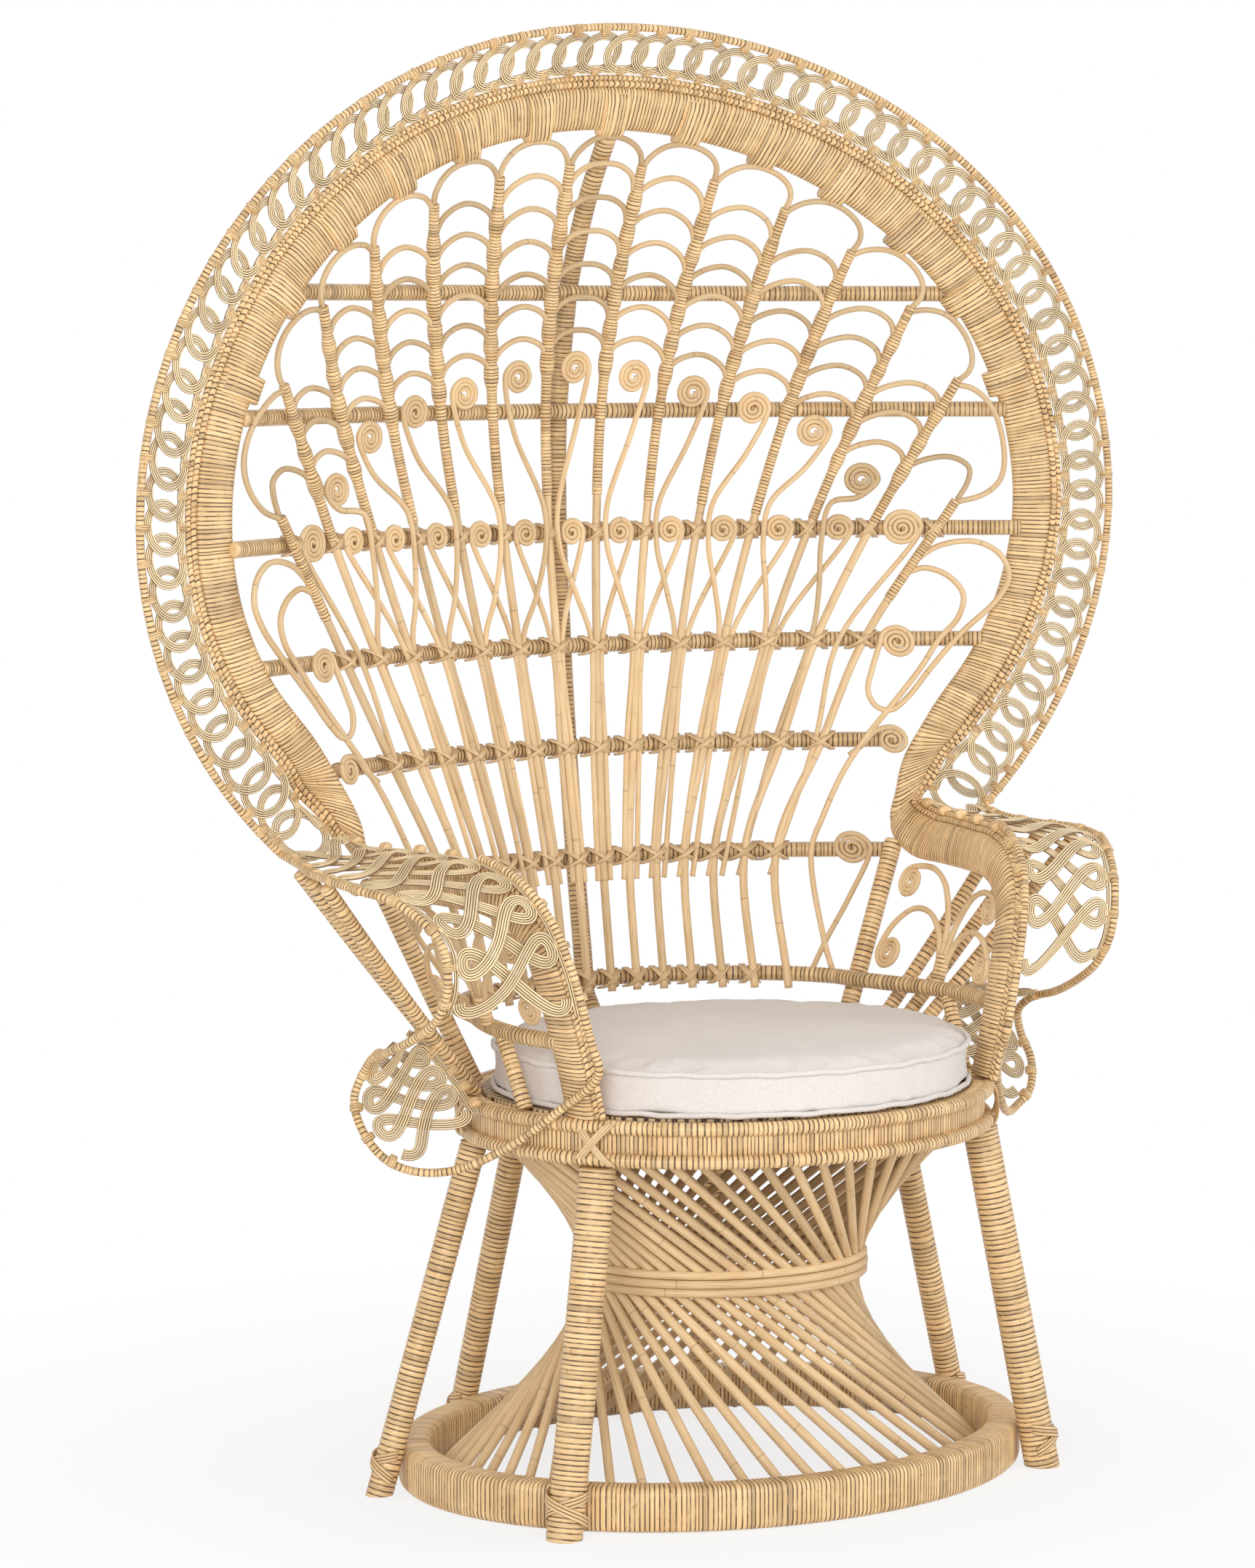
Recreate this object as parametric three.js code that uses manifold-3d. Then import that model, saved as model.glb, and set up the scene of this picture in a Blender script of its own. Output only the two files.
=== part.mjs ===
// Peacock chair: a woven rattan armchair with a round fan back, lace wings and an hourglass base.
// Millimetres, +Z up. The chair faces -Y and the origin lies on the floor under the middle of its overall box.
// The shapes below are worked out from the axis of the base ring, and moved forward together at the end.

import * as THREE from 'three';
import { mergeVertices } from 'three/addons/utils/BufferGeometryUtils.js';
import Module from 'manifold-3d';

const wasm = await Module();
wasm.setup();

// Shared fit values
const clear = 0.3;
const overrun = 6;
const embed = 1;
const weld = 1e-4;
const slabHalfWidth = 900;
const ringSteps = 48;
const bandGap = 1.2;
const middleOffset = 22.3;
const halvings = 24;

// Corner counts of thin canes, canes, posts and legs
const [thinCorners, caneCorners, postCorners, legCorners] = [3, 4, 6, 8];

// Base ring, seat ring and seat deck
const base = { halfWidth: 343, halfDepth: 271, height: 46, wall: 34, bevel: 8, offset: 0 };
const seat = { halfWidth: 281, halfDepth: 243, bottom: 360, height: 48, wall: 18, roll: 7, offset: 27 };
const seatTop = seat.bottom + seat.height;
const deck = { thickness: 5, barRadius: 8, barPitch: 120, edgeGap: 1 };

// How far other pieces lie inside or outside the seat ring's edge
const inside = {
  arm: 43, cushionSide: 33, cushionEnd: 13, cushionOffset: 7, railSide: 8, railBack: 2, brace: 9,
};
const wingOutside = 169;

// Hourglass of straight rods leaning round the axis, held by a hoop at the waist
const weave = {
  rods: 48, rodRadius: 4.3, wallGap: 1, footHeight: 12, headHeight: 16,
  hoopZ: 218, hoopHeight: 24, hoopThickness: 10, bite: 2.6,
};
const weaveTurnShare = 1 / 3;

// Legs: places in degrees from the front, round each ring
const legGap = 1;
const [frontLegRadius, backLegRadius] = [18.5, 14];
const legOverShare = 0.2;
const legs = [
  { name: 'leg_front', footAngle: 52, topAngle: 58, radius: frontLegRadius },
  { name: 'leg_side', footAngle: 103, topAngle: 108, radius: backLegRadius },
  { name: 'leg_back', footAngle: 155, topAngle: 153, radius: backLegRadius },
];

// Fan back: three ovals about one centre, seen from the front
const fan = {
  centreZ: 989.5, sideY: 142, topBack: 63, lowBack: 20, bandThickness: 16,
  inner: { halfWidth: 481, rise: 399, drop: 371, forward: 0, flare: 0 },
  outer: { halfWidth: 526, rise: 444, drop: 399, forward: 10, flare: 8 },
  rim: { halfWidth: 594, rise: 504, drop: 491, forward: 26, flare: 20 },
};
const bandSteps = 20;
const laceCells = 2 * bandSteps;
const bandEndAngle = 128;
const rimEndAngle = 133;
const trimRadius = 6;
const rimRadius = 4.5;

// Neck of the fan, from the head down, in shares of the oval's half width, centre height and side depth
const neckShares = [
  { innerX: 0.717, innerZ: 0.716, outerX: 0.815, outerZ: 0.724, back: 1.09 },
  { innerX: 0.688, innerZ: 0.679, outerX: 0.763, outerZ: 0.695, back: 1.05 },
  { innerX: 0.672, innerZ: 0.643, outerX: 0.728, outerZ: 0.671, back: 1.03 },
];

// Arms: the band bends over each side and down to the seat ring
const arm = { reach: seat.halfWidth - inside.arm, flare: 0.23, toe: 0.2, depth: 160, top: 650, tuck: 18 };
const armRowShares = [
  { outerY: 0.63, outerZ: 1, innerY: 0.66, innerZ: 0.845, tuck: 1 },
  { outerY: 0.28, outerZ: 0.998, innerY: 0.28, innerZ: 0.825, tuck: 0.25 },
  { outerY: -0.04, outerZ: 0.995, innerY: -0.03, innerZ: 0.82, tuck: 0 },
  { outerY: -0.375, outerZ: 0.985, innerY: -0.325, innerZ: 0.81, tuck: 0 },
  { outerY: -0.656, outerZ: 0.925, innerY: -0.525, innerZ: 0.77, tuck: 0 },
  { outerY: -0.856, outerZ: 0.795, innerY: -0.65, innerZ: 0.685, tuck: 0 },
  { outerY: -0.95, outerZ: 0.61, innerY: -0.694, innerZ: 0.57, tuck: 0 },
  { outerY: -0.981, outerZ: 0.41, innerY: -0.725, innerZ: 0.4, tuck: 0 },
  { outerY: -1, outerZ: 0.195, innerY: -0.75, innerZ: 0.195, tuck: 0 },
];

// Shell of the fan: the surface that the rails lie on
const shell = {
  backY: 298, backZ: 1020, lean: 57, leanHeight: 537, curl: 93, curlHeight: 383,
  bowWidth: 481, bow: 164, bowStart: 840, bowHeight: 357, step: 1,
};
const bowLinearShare = 0.7;
const bowEndShare = 0.77;

// Rails from the crown down, and the spine behind them
const railHeights = [1218, 1092, 962, 840, 731, 613];
const rail = { radius: 8.5, bury: 8, steps: 12 };
const spine = { radius: 9, fade: 150, straight: 12, kneeZ: 440, kneeY: 235 };

// Seat back rail: a horseshoe that lies on the shell and turns forward along the arms, in shares of its half
// width and of its depths behind and before the axis
const horseshoe = {
  z: 483, halfWidth: seat.halfWidth - inside.railSide, back: seat.halfDepth - inside.railBack, front: 124,
  shellSteps: 5,
};
const horseshoeShellShare = 0.7;
const horseshoeShares = [
  [0.85, 0.519], [0.872, 0.415], [0.908, 0.257], [0.96, 0.083], [0.996, -0.234], [1, -0.605], [0.96, -1.05],
];

// Ribs: bundles of canes that fan out from a focus below the seat
const rib = {
  count: 7, focusZ: 197, rodRadius: 4.5, sideRadius: 3.2, topGap: 34, tail: 25, cutZ: 588, footZ: 470,
  split: 10, bite: 1.4, growFrom: 840, growTo: 1092, hugGap: 1, crossGap: 1.8,
};
const ribStepShare = 0.0771;
const ribGrowthShare = 0.0018;
const lowerRibShare = 0.22;
const lowBranchPlace = 5;
const branchEndShare = 0.44;
const branchShares = [{ across: 0.12, up: 0 }, { across: 0.6, up: 0.62 }];
const crossingShare = { rise: 0.45, across: 0.5 };
const scrollRiseShare = { up: 0.65, across: 0.7 };

// Scrolls at the ends of the rib canes, each wound from its outer edge inwards
const scroll = {
  radius: 14, bigRadius: 19, upperRadius: 17, wire: 3, eye: 4, gap: 1.2, steps: 6,
  upperTop: 1138, upperDrop: 123,
};
const upperDropShares = [0, 0.08, 0.22, 0.366, 0.57, 1];

// Fish-scale arches between the ribs: counts by column from the middle, then places across and under the crown
const arch = { radius: 3, overScroll: 27, lastCrown: 1042 };
const archCounts = [3, 3, 3, 3, 2, 2];
const archShares = [[-0.5, 0.27], [-0.22, 0.02], [0.16, 0.06], [0.5, 0.42]];
const levelArchShares = [[-0.5, 0.34], [-0.18, 0.02], [0.18, 0.02], [0.5, 0.34]];

// Lace: flat nets in the fan's border and in the wings
const lace = { thickness: 5, wingColumns: 2, lobeColumns: 1, endGap: 1 };
const laceHoleShare = 0.74;

// Wing rim, from the end of the fan rim round to the arm's foot, in shares of the wing's size
const wing = { halfWidth: seat.halfWidth + wingOutside, depth: 150, top: 650, endOffset: 140, endZ: 440 };
const wingRimShares = [
  [0.971, 0.567, 0.997], [0.996, 0.267, 0.992], [1.016, -0.067, 0.991], [1.007, -0.387, 0.983],
  [0.956, -0.7, 0.966], [0.902, -0.987, 0.911], [0.889, -1, 0.846], [0.887, -0.86, 0.795],
  [0.891, -0.673, 0.766], [0.904, -0.3, 0.729], [0.896, -0.033, 0.711], [0.893, 0.107, 0.686],
  [0.911, 0.147, 0.646], [0.916, 0.04, 0.605], [0.884, -0.08, 0.56], [0.827, -0.147, 0.537],
  [0.756, -0.333, 0.538], [0.667, -0.613, 0.578], [0.596, -0.867, 0.634],
];
const lobeFirst = 10;
const lobeShares = [
  [0.767, 0.2, 0.738], [0.74, 0.193, 0.726], [0.716, 0.18, 0.708], [0.684, 0.147, 0.682],
  [0.662, 0.08, 0.658], [0.655, -0.04, 0.634], [0.655, -0.2, 0.612],
];

// Posts, struts and braces: places in degrees from the front, round the seat ring
const neckPost = { angle: 124, radius: 10, topX: 322, topY: 138, topZ: 624 };
const strut = { radius: 9, angles: [117.5, 112, 106.5] };
const brace = { radius: 8, angle: 79, topX: seat.halfWidth - inside.brace, topOffset: 36 };

// Scrollwork under each arm: a stem with four crooks, in shares of its reach, its height over the rail and its curl
const armScroll = {
  stemOffset: 10, stemRadius: 8, wire: 3, bulge: 12, backReach: 130, frontReach: 118,
  reach: 100, height: 125, curl: 16,
};
const stemShare = 0.272;
const crookShares = [
  {
    path: [[-0.08, 0.232], [0, 0.552], [0.24, 0.84], [0.54, 0.952]],
    eye: [0.86, 0.816], curl: 1, side: 1, start: 0,
  },
  {
    path: [[-0.04, 0.2], [0.08, 0.416], [0.34, 0.584], [0.66, 0.6], [0.91, 0.44]],
    eye: [0.84, 0.224], curl: 1, side: 1, start: 0.25,
  },
  {
    path: [[-0.12, 0.232], [-0.18, 0.52], [-0.36, 0.76], [-0.58, 0.84]],
    eye: [-0.8, 0.712], curl: 0.94, side: -1, start: 0,
  },
  {
    path: [[-0.16, 0.2], [-0.26, 0.376], [-0.48, 0.496], [-0.76, 0.48], [-0.97, 0.352]],
    eye: [-0.9, 0.224], curl: 0.875, side: -1, start: 0.25,
  },
];

// Side loops beside the ribs: one long cane and three scrolls, in shares of the fan's half width and height
const loopShares = [
  [0.49, 0.488], [0.495, 0.525], [0.507, 0.619], [0.543, 0.659], [0.594, 0.705], [0.647, 0.741],
  [0.711, 0.778], [0.776, 0.816], [0.827, 0.85], [0.865, 0.873], [0.877, 0.898], [0.851, 0.918],
  [0.804, 0.928], [0.762, 0.922],
];
const loopTailShares = [
  {
    path: [
      [0.92, 0.9], [0.85, 0.855], [0.796, 0.821], [0.744, 0.786], [0.707, 0.772], [0.678, 0.776],
      [0.666, 0.793], [0.68, 0.816],
    ],
    eye: [0.74, 0.846], radius: scroll.upperRadius, start: -1,
  },
  {
    path: [[0.64, 0.737], [0.668, 0.742], [0.716, 0.757]],
    eye: [0.7, 0.739], radius: scroll.radius, start: 1,
  },
  {
    path: [[0.447, 0.488], [0.499, 0.525], [0.561, 0.568]],
    eye: [0.588, 0.622], radius: scroll.upperRadius, start: 1,
  },
];

// Loose seat cushion
const cushion = {
  halfWidth: seat.halfWidth - inside.cushionSide, halfDepth: seat.halfDepth - inside.cushionEnd,
  offset: seat.offset + inside.cushionOffset, side: 44, crown: 20, pinch: 5, seam: 4, steps: 28,
};
const crownShares = [[0.5, 0.8], [0.86, 0.5], [1, 0.16]];

// Finishes
const rattan = new THREE.MeshStandardMaterial({ color: '#deb882', roughness: 0.55, metalness: 0 });
const wrapped = new THREE.MeshStandardMaterial({ color: '#d6af73', roughness: 0.6, metalness: 0 });
const paleCane = new THREE.MeshStandardMaterial({ color: '#e4cda0', roughness: 0.5, metalness: 0 });
const cotton = new THREE.MeshStandardMaterial({ color: '#e8e2dc', roughness: 0.95, metalness: 0 });

const chair = new THREE.Group();

// Small helpers
const point = (x, y, z) => new THREE.Vector3(x, y, z);
const radians = (degrees) => THREE.MathUtils.degToRad(degrees);
const mix = (from, to, share) => from + (to - from) * share;
const mirrored = (points, side) => points.map((p) => point(p.x * side, p.y, p.z));
const sides = [['left', -1], ['right', 1]];

function solidOf(geometry) {
  const plain = geometry.clone();
  plain.deleteAttribute('normal');
  plain.deleteAttribute('uv');
  const merged = mergeVertices(plain, weld);
  const mesh = new wasm.Mesh({
    numProp: 3,
    vertProperties: new Float32Array(merged.attributes.position.array),
    triVerts: new Uint32Array(merged.index.array),
  });
  return new wasm.Manifold(mesh);
}

function addPiece(name, solid, material) {
  const mesh = solid.getMesh();
  const geometry = new THREE.BufferGeometry();
  geometry.setAttribute('position', new THREE.BufferAttribute(mesh.vertProperties, 3));
  geometry.setIndex(new THREE.BufferAttribute(mesh.triVerts, 1));
  geometry.computeVertexNormals();
  const piece = new THREE.Mesh(geometry, material);
  piece.name = name;
  piece.position.y = -middleOffset;
  chair.add(piece);
}

const unionOf = (solids) => solids.reduce((whole, next) => whole.add(next));
const cutBy = (solid, cutters) => cutters.reduce((whole, cutter) => whole.subtract(cutter), solid);

function signedVolume(positions, index) {
  const corner = (i) => new THREE.Vector3().fromArray(positions, index[i] * 3);
  let volume = 0;
  for (let i = 0; i < index.length; i += 3) {
    volume += corner(i).dot(corner(i + 1).cross(corner(i + 2)));
  }
  return volume;
}

// A solid from the faces of its skin, turned to face outwards
function closedSkin(positions, index) {
  const facing = [...index];
  if (signedVolume(positions, index) < 0) facing.reverse();
  const geometry = new THREE.BufferGeometry();
  geometry.setAttribute('position', new THREE.Float32BufferAttribute(positions, 3));
  geometry.setIndex(facing);
  return solidOf(geometry);
}

// Closed skin over rings of equal count; an open run gets flat ends
function loft(rings, closed) {
  const size = rings[0].length;
  const positions = rings.flat().flatMap((p) => [p.x, p.y, p.z]);
  const index = [];
  const spans = closed ? rings.length : rings.length - 1;
  for (let i = 0; i < spans; i += 1) {
    for (let j = 0; j < size; j += 1) {
      const here = i * size;
      const there = ((i + 1) % rings.length) * size;
      const next = (j + 1) % size;
      index.push(here + j, here + next, there + next, here + j, there + next, there + j);
    }
  }
  if (!closed) {
    const last = (rings.length - 1) * size;
    for (let j = 1; j < size - 1; j += 1) {
      index.push(0, j + 1, j, last, last + j, last + j + 1);
    }
  }
  return closedSkin(positions, index);
}

// A cane along hand-placed points, with one ring of corners at each point
function cane(points, radius, corners, reference = point(0, 1, 0)) {
  const tangents = points.map((p, i) => {
    const before = points[Math.max(i - 1, 0)];
    const after = points[Math.min(i + 1, points.length - 1)];
    return after.clone().sub(before).normalize();
  });
  const normal = reference.clone().cross(tangents[0]).normalize();
  const rings = points.map((p, i) => {
    normal.addScaledVector(tangents[i], -normal.dot(tangents[i])).normalize();
    const across = tangents[i].clone().cross(normal);
    return Array.from({ length: corners }, (_, j) => {
      const turn = (2 * Math.PI * j) / corners;
      const out = normal.clone().multiplyScalar(Math.cos(turn)).addScaledVector(across, Math.sin(turn));
      return p.clone().addScaledVector(out, radius);
    });
  });
  return loft(rings, false);
}

// A straight rod from one place to another
function rod(from, to, radius, corners) {
  const section = new THREE.Shape();
  Array.from({ length: corners }, (_, j) => (2 * Math.PI * j) / corners).forEach((turn, j) => {
    const [x, y] = [radius * Math.cos(turn), radius * Math.sin(turn)];
    if (j === 0) section.moveTo(x, y);
    else section.lineTo(x, y);
  });
  section.closePath();
  const path = new THREE.LineCurve3(from, to);
  return solidOf(new THREE.ExtrudeGeometry(section, { steps: 1, bevelEnabled: false, extrudePath: path }));
}

// A block of space between two heights
function slab(bottom, top) {
  const geometry = new THREE.BoxGeometry(2 * slabHalfWidth, 2 * slabHalfWidth, top - bottom);
  geometry.translate(0, 0, (top + bottom) / 2);
  return solidOf(geometry);
}

// Oval rings: a place on the oval, inset square to its edge
function ovalPlace(oval, degrees, inset) {
  const angle = radians(degrees);
  const outward = point(oval.halfDepth * Math.sin(angle), -oval.halfWidth * Math.cos(angle), 0).normalize();
  const edge = point(oval.halfWidth * Math.sin(angle), -oval.offset - oval.halfDepth * Math.cos(angle), 0);
  return edge.addScaledVector(outward, -inset);
}

function ovalRing(oval, section) {
  const rings = Array.from({ length: ringSteps }, (_, i) => {
    const degrees = (360 * i) / ringSteps;
    return section.map(([out, up]) => ovalPlace(oval, degrees, -out).setZ(up));
  });
  return loft(rings, true);
}

// Shell of the fan, and a place in front of it at a distance square to it
function shellY(x, z) {
  const below = Math.max(shell.backZ - z, 0) / shell.leanHeight;
  const above = Math.max(z - shell.backZ, 0) / shell.curlHeight;
  const middle = shell.backY - shell.lean * below ** 1.5 - shell.curl * above ** 2;
  const low = Math.max(shell.bowStart - z, 0) / shell.bowHeight;
  const bow = (shell.bow / shell.bowWidth ** 2) * (1 + bowLinearShare * low + bowEndShare * low ** 6);
  return middle - bow * x * x;
}

const slopeX = (x, z) => (shellY(x + shell.step, z) - shellY(x - shell.step, z)) / (2 * shell.step);
const slopeZ = (x, z) => (shellY(x, z + shell.step) - shellY(x, z - shell.step)) / (2 * shell.step);
const onShell = (x, z, lift) => point(x, shellY(x, z) - lift * Math.hypot(1, slopeX(x, z), slopeZ(x, z)), z);

function fanPoint(edge, degrees) {
  const angle = radians(degrees);
  const up = Math.cos(angle);
  const height = up > 0 ? edge.rise : edge.drop;
  const back = fan.sideY + fan.topBack * Math.max(0, up) ** 3 + fan.lowBack * Math.max(0, -up);
  const y = back - edge.forward - edge.flare * Math.max(0, up) ** 2;
  return point(edge.halfWidth * Math.sin(angle), y, fan.centreZ + height * up);
}

// Rows of the wrapped band: inner and outer edge, from the left foot over the fan to the right foot
function armX(y, z) {
  return arm.reach + arm.flare * (z - seatTop) + arm.toe * (y + arm.depth);
}

function neckRows(side) {
  const { halfWidth } = fan.inner;
  return neckShares.map((row) => ({
    inner: point(side * row.innerX * halfWidth, row.back * fan.sideY, row.innerZ * fan.centreZ),
    outer: point(side * row.outerX * halfWidth, row.back * fan.sideY, row.outerZ * fan.centreZ),
  }));
}

function armRows(side) {
  const height = arm.top - seatTop;
  const rows = armRowShares.map((row) => {
    const outer = point(0, row.outerY * arm.depth, seatTop + row.outerZ * height);
    const inner = point(0, row.innerY * arm.depth, seatTop + row.innerZ * height);
    outer.x = side * armX(outer.y, outer.z);
    inner.x = side * (armX(inner.y, inner.z) - row.tuck * arm.tuck);
    return { inner, outer };
  });
  const last = rows[rows.length - 1];
  const low = seatTop - overrun;
  const inner = point(side * armX(last.inner.y, low), last.inner.y, low);
  const outer = point(side * armX(last.outer.y, low), last.outer.y, low);
  return [...rows, { inner, outer }];
}

const headAngles = Array.from({ length: bandSteps + 1 }, (_, i) => bandEndAngle * ((2 * i) / bandSteps - 1));
const headRows = headAngles.map((degrees) => {
  return { inner: fanPoint(fan.inner, degrees), outer: fanPoint(fan.outer, degrees) };
});
const bandRows = [
  ...armRows(-1).reverse(), ...neckRows(-1).reverse(), ...headRows, ...neckRows(1), ...armRows(1),
];
const armSpan = armRowShares.length + 1;

// Sections of the band, grown on all sides for a cutter, and made thicker by a cover on both faces
function bandRings(grow, cover) {
  return bandRows.map((row, i) => {
    const before = bandRows[Math.max(i - 1, 0)];
    const after = bandRows[Math.min(i + 1, bandRows.length - 1)];
    const along = after.inner.clone().add(after.outer).sub(before.inner).sub(before.outer);
    const across = row.outer.clone().sub(row.inner).normalize();
    const face = along.cross(across).setLength(fan.bandThickness / 2 + grow + cover);
    const inner = row.inner.clone().addScaledVector(across, -grow);
    const outer = row.outer.clone().addScaledVector(across, grow);
    const corners = [[inner, 1], [outer, 1], [outer, -1], [inner, -1]];
    return corners.map(([p, way]) => p.clone().addScaledVector(face, way));
  });
}

const bandCutter = loft(bandRings(clear, 0), false);
const bandCover = loft(bandRings(2 * clear, 2 * rail.radius), false);
const seatFloor = slab(seat.bottom, seatTop + clear);

function fanBand() {
  return loft(bandRings(0, 0).slice(armSpan, -armSpan), false);
}

function armBand(side) {
  const rings = bandRings(0, 0);
  const shifted = (ring, next) => {
    return ring.map((p, j) => p.clone().add(next[j].clone().sub(p).setLength(bandGap)));
  };
  if (side > 0) {
    const run = rings.slice(-armSpan - 1);
    return cutBy(loft([shifted(run[0], run[1]), ...run.slice(1)], false), [seatFloor]);
  }
  const run = rings.slice(0, armSpan + 1);
  return cutBy(loft([...run.slice(0, -1), shifted(run[armSpan], run[armSpan - 1])], false), [seatFloor]);
}

// Trim roll along the outer edge of the whole band, from one foot to the other
const trimPath = bandRows.map(({ inner, outer }, i) => {
  const before = bandRows[Math.max(i - 1, 0)].outer;
  const after = bandRows[Math.min(i + 1, bandRows.length - 1)].outer;
  const along = after.clone().sub(before).normalize();
  const across = outer.clone().sub(inner);
  across.addScaledVector(along, -across.dot(along)).normalize();
  return outer.clone().addScaledVector(across, trimRadius + 2 * clear);
});

function trim() {
  return cutBy(cane(trimPath, trimRadius, caneCorners), [bandCutter, seatFloor]);
}

// Base
function baseRing() {
  const { height, wall, bevel } = base;
  return ovalRing(base, [
    [0, bevel], [0, height - bevel], [-bevel, height], [-wall, height], [-wall, 0], [-bevel, 0],
  ]);
}

function seatRing() {
  const { wall, bottom, roll } = seat;
  return ovalRing(seat, [
    [-wall, bottom], [-wall, seatTop], [0, seatTop], [roll, seatTop - roll], [0, seatTop - 2 * roll],
    [roll, bottom + roll], [0, bottom],
  ]);
}

function seatDeck() {
  const inset = seat.wall + deck.edgeGap;
  const [halfWidth, halfDepth] = [seat.halfWidth - inset, seat.halfDepth - inset];
  const edge = Array.from({ length: ringSteps }, (_, i) => ovalPlace(seat, (360 * i) / ringSteps, inset));
  const panel = loft([seatTop - deck.thickness, seatTop].map((z) => edge.map((p) => p.clone().setZ(z))), false);
  const barZ = seatTop - deck.thickness - deck.barRadius + embed;
  const bars = [-1, 0, 1].map((place) => {
    const x = place * deck.barPitch;
    const reach = halfDepth * Math.sqrt(1 - ((Math.abs(x) + deck.barRadius) / halfWidth) ** 2);
    const [front, back] = [-reach, reach].map((y) => point(x, y - seat.offset, barZ));
    return rod(front, back, deck.barRadius, postCorners);
  });
  return unionOf([panel, ...bars]);
}

function weaveRod(index) {
  const inset = weave.rodRadius * Math.cos(Math.PI / caneCorners) + weave.wallGap;
  const degrees = (360 * index) / weave.rods;
  const foot = ovalPlace(base, degrees, base.wall + inset).setZ(weave.footHeight);
  const head = ovalPlace(seat, degrees - 360 * weaveTurnShare, seat.wall + inset);
  return [foot, head.setZ(seat.bottom + weave.headHeight)];
}

function hourglass() {
  const rods = Array.from({ length: weave.rods }, (_, i) => weaveRod(i));
  const rings = rods.filter((_, i) => i % 2 === 0).map(([foot, head]) => {
    const waist = foot.clone().lerp(head, (weave.hoopZ - foot.z) / (head.z - foot.z));
    const outward = point(waist.x, waist.y, 0).normalize();
    const inner = waist.clone().addScaledVector(outward, weave.rodRadius - weave.bite);
    const outer = inner.clone().addScaledVector(outward, weave.hoopThickness);
    const [top, bottom] = [weave.hoopZ + weave.hoopHeight / 2, weave.hoopZ - weave.hoopHeight / 2];
    return [[inner, top], [outer, top], [outer, bottom], [inner, bottom]].map(([p, z]) => p.clone().setZ(z));
  });
  const canes = rods.map(([foot, head]) => rod(foot, head, weave.rodRadius, caneCorners));
  return unionOf([loft(rings, true), ...canes]);
}

function leg(spec, side) {
  const low = ovalPlace(base, side * spec.footAngle, -(spec.radius + legGap)).setZ(base.height - base.bevel);
  const high = ovalPlace(seat, side * spec.topAngle, seat.wall / 2).setZ(seat.bottom);
  const over = high.clone().sub(low).multiplyScalar(legOverShare);
  return rod(low.sub(over), high.add(over), spec.radius, legCorners).intersect(slab(0, seat.bottom - clear));
}

// Posts and struts between the seat ring, the band and the wings
const postFoot = (degrees) => ovalPlace(seat, degrees, seat.wall / 2).setZ(seatTop);

function standing(from, to, radius, corners, cutters) {
  const under = from.clone().sub(to).multiplyScalar(legOverShare);
  return cutBy(rod(from.clone().add(under), to, radius, corners), [slab(0, seatTop + clear), ...cutters]);
}

const neckPostRod = (side, grow) => {
  const top = point(side * neckPost.topX, neckPost.topY, neckPost.topZ);
  return standing(postFoot(side * neckPost.angle), top, neckPost.radius + grow, postCorners, []);
};

const wingPlace = ([x, y, z]) => point(x * wing.halfWidth, y * wing.depth, z * wing.top);

const rimHead = Array.from({ length: laceCells + 1 }, (_, i) => {
  return fanPoint(fan.rim, bandEndAngle * ((2 * i) / laceCells - 1));
});

function rimTail(side) {
  return neckShares.map((row, i) => {
    return fanPoint(fan.rim, side * mix(bandEndAngle, rimEndAngle, (i + 1) / neckShares.length));
  });
}

const rimPath = [...rimTail(-1).reverse(), ...rimHead, ...rimTail(1)];

function wingRimPath(side) {
  const start = fanPoint(fan.rim, rimEndAngle);
  const end = point(armX(-wing.endOffset, wing.endZ), -wing.endOffset, wing.endZ);
  return mirrored([start, ...wingRimShares.map(wingPlace), end], side);
}

const beyond = (path, reach) => {
  const [before, last] = path.slice(-2);
  return [...path, last.clone().add(last.clone().sub(before).setLength(reach))];
};

const rimRun = beyond(beyond(rimPath, clear).reverse(), clear);
const rimCutter = cane(rimRun, rimRadius + clear, caneCorners);

function wingRim(side) {
  return cutBy(cane(wingRimPath(side), rimRadius, caneCorners), [rimCutter, bandCutter]);
}

function armTrim(side) {
  return side > 0 ? trimPath.slice(-armSpan - 1) : trimPath.slice(0, armSpan + 1).reverse();
}

// Space above the underside of the wing lace, where no strut may reach
function wingShade(side) {
  const inner = armTrim(side);
  const outer = wingRimPath(side);
  const rings = Array.from({ length: strut.angles.length + 2 }, (_, i) => {
    const across = outer[i].clone().sub(inner[i]).normalize();
    const along = outer[i + 1].clone().sub(outer[i]);
    const up = along.cross(across).multiplyScalar(side).normalize();
    if (up.z < 0) up.negate();
    const low = up.clone().multiplyScalar(-(lace.thickness / 2 + 3 * clear));
    const high = up.clone().multiplyScalar(2 * strut.radius);
    const far = outer[i].clone().addScaledVector(across, 2 * strut.radius);
    const corners = [[inner[i], low], [far, low], [far, high], [inner[i], high]];
    return corners.map(([p, shift]) => p.clone().add(shift));
  });
  return loft(rings, false);
}

function wingStrut(index, side) {
  const top = wingRimPath(side)[index + 1];
  const rim = cane(wingRimPath(side), rimRadius + clear, caneCorners);
  const foot = postFoot(side * strut.angles[index]);
  return standing(foot, top, strut.radius, postCorners, [rim, wingShade(side)]);
}

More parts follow.
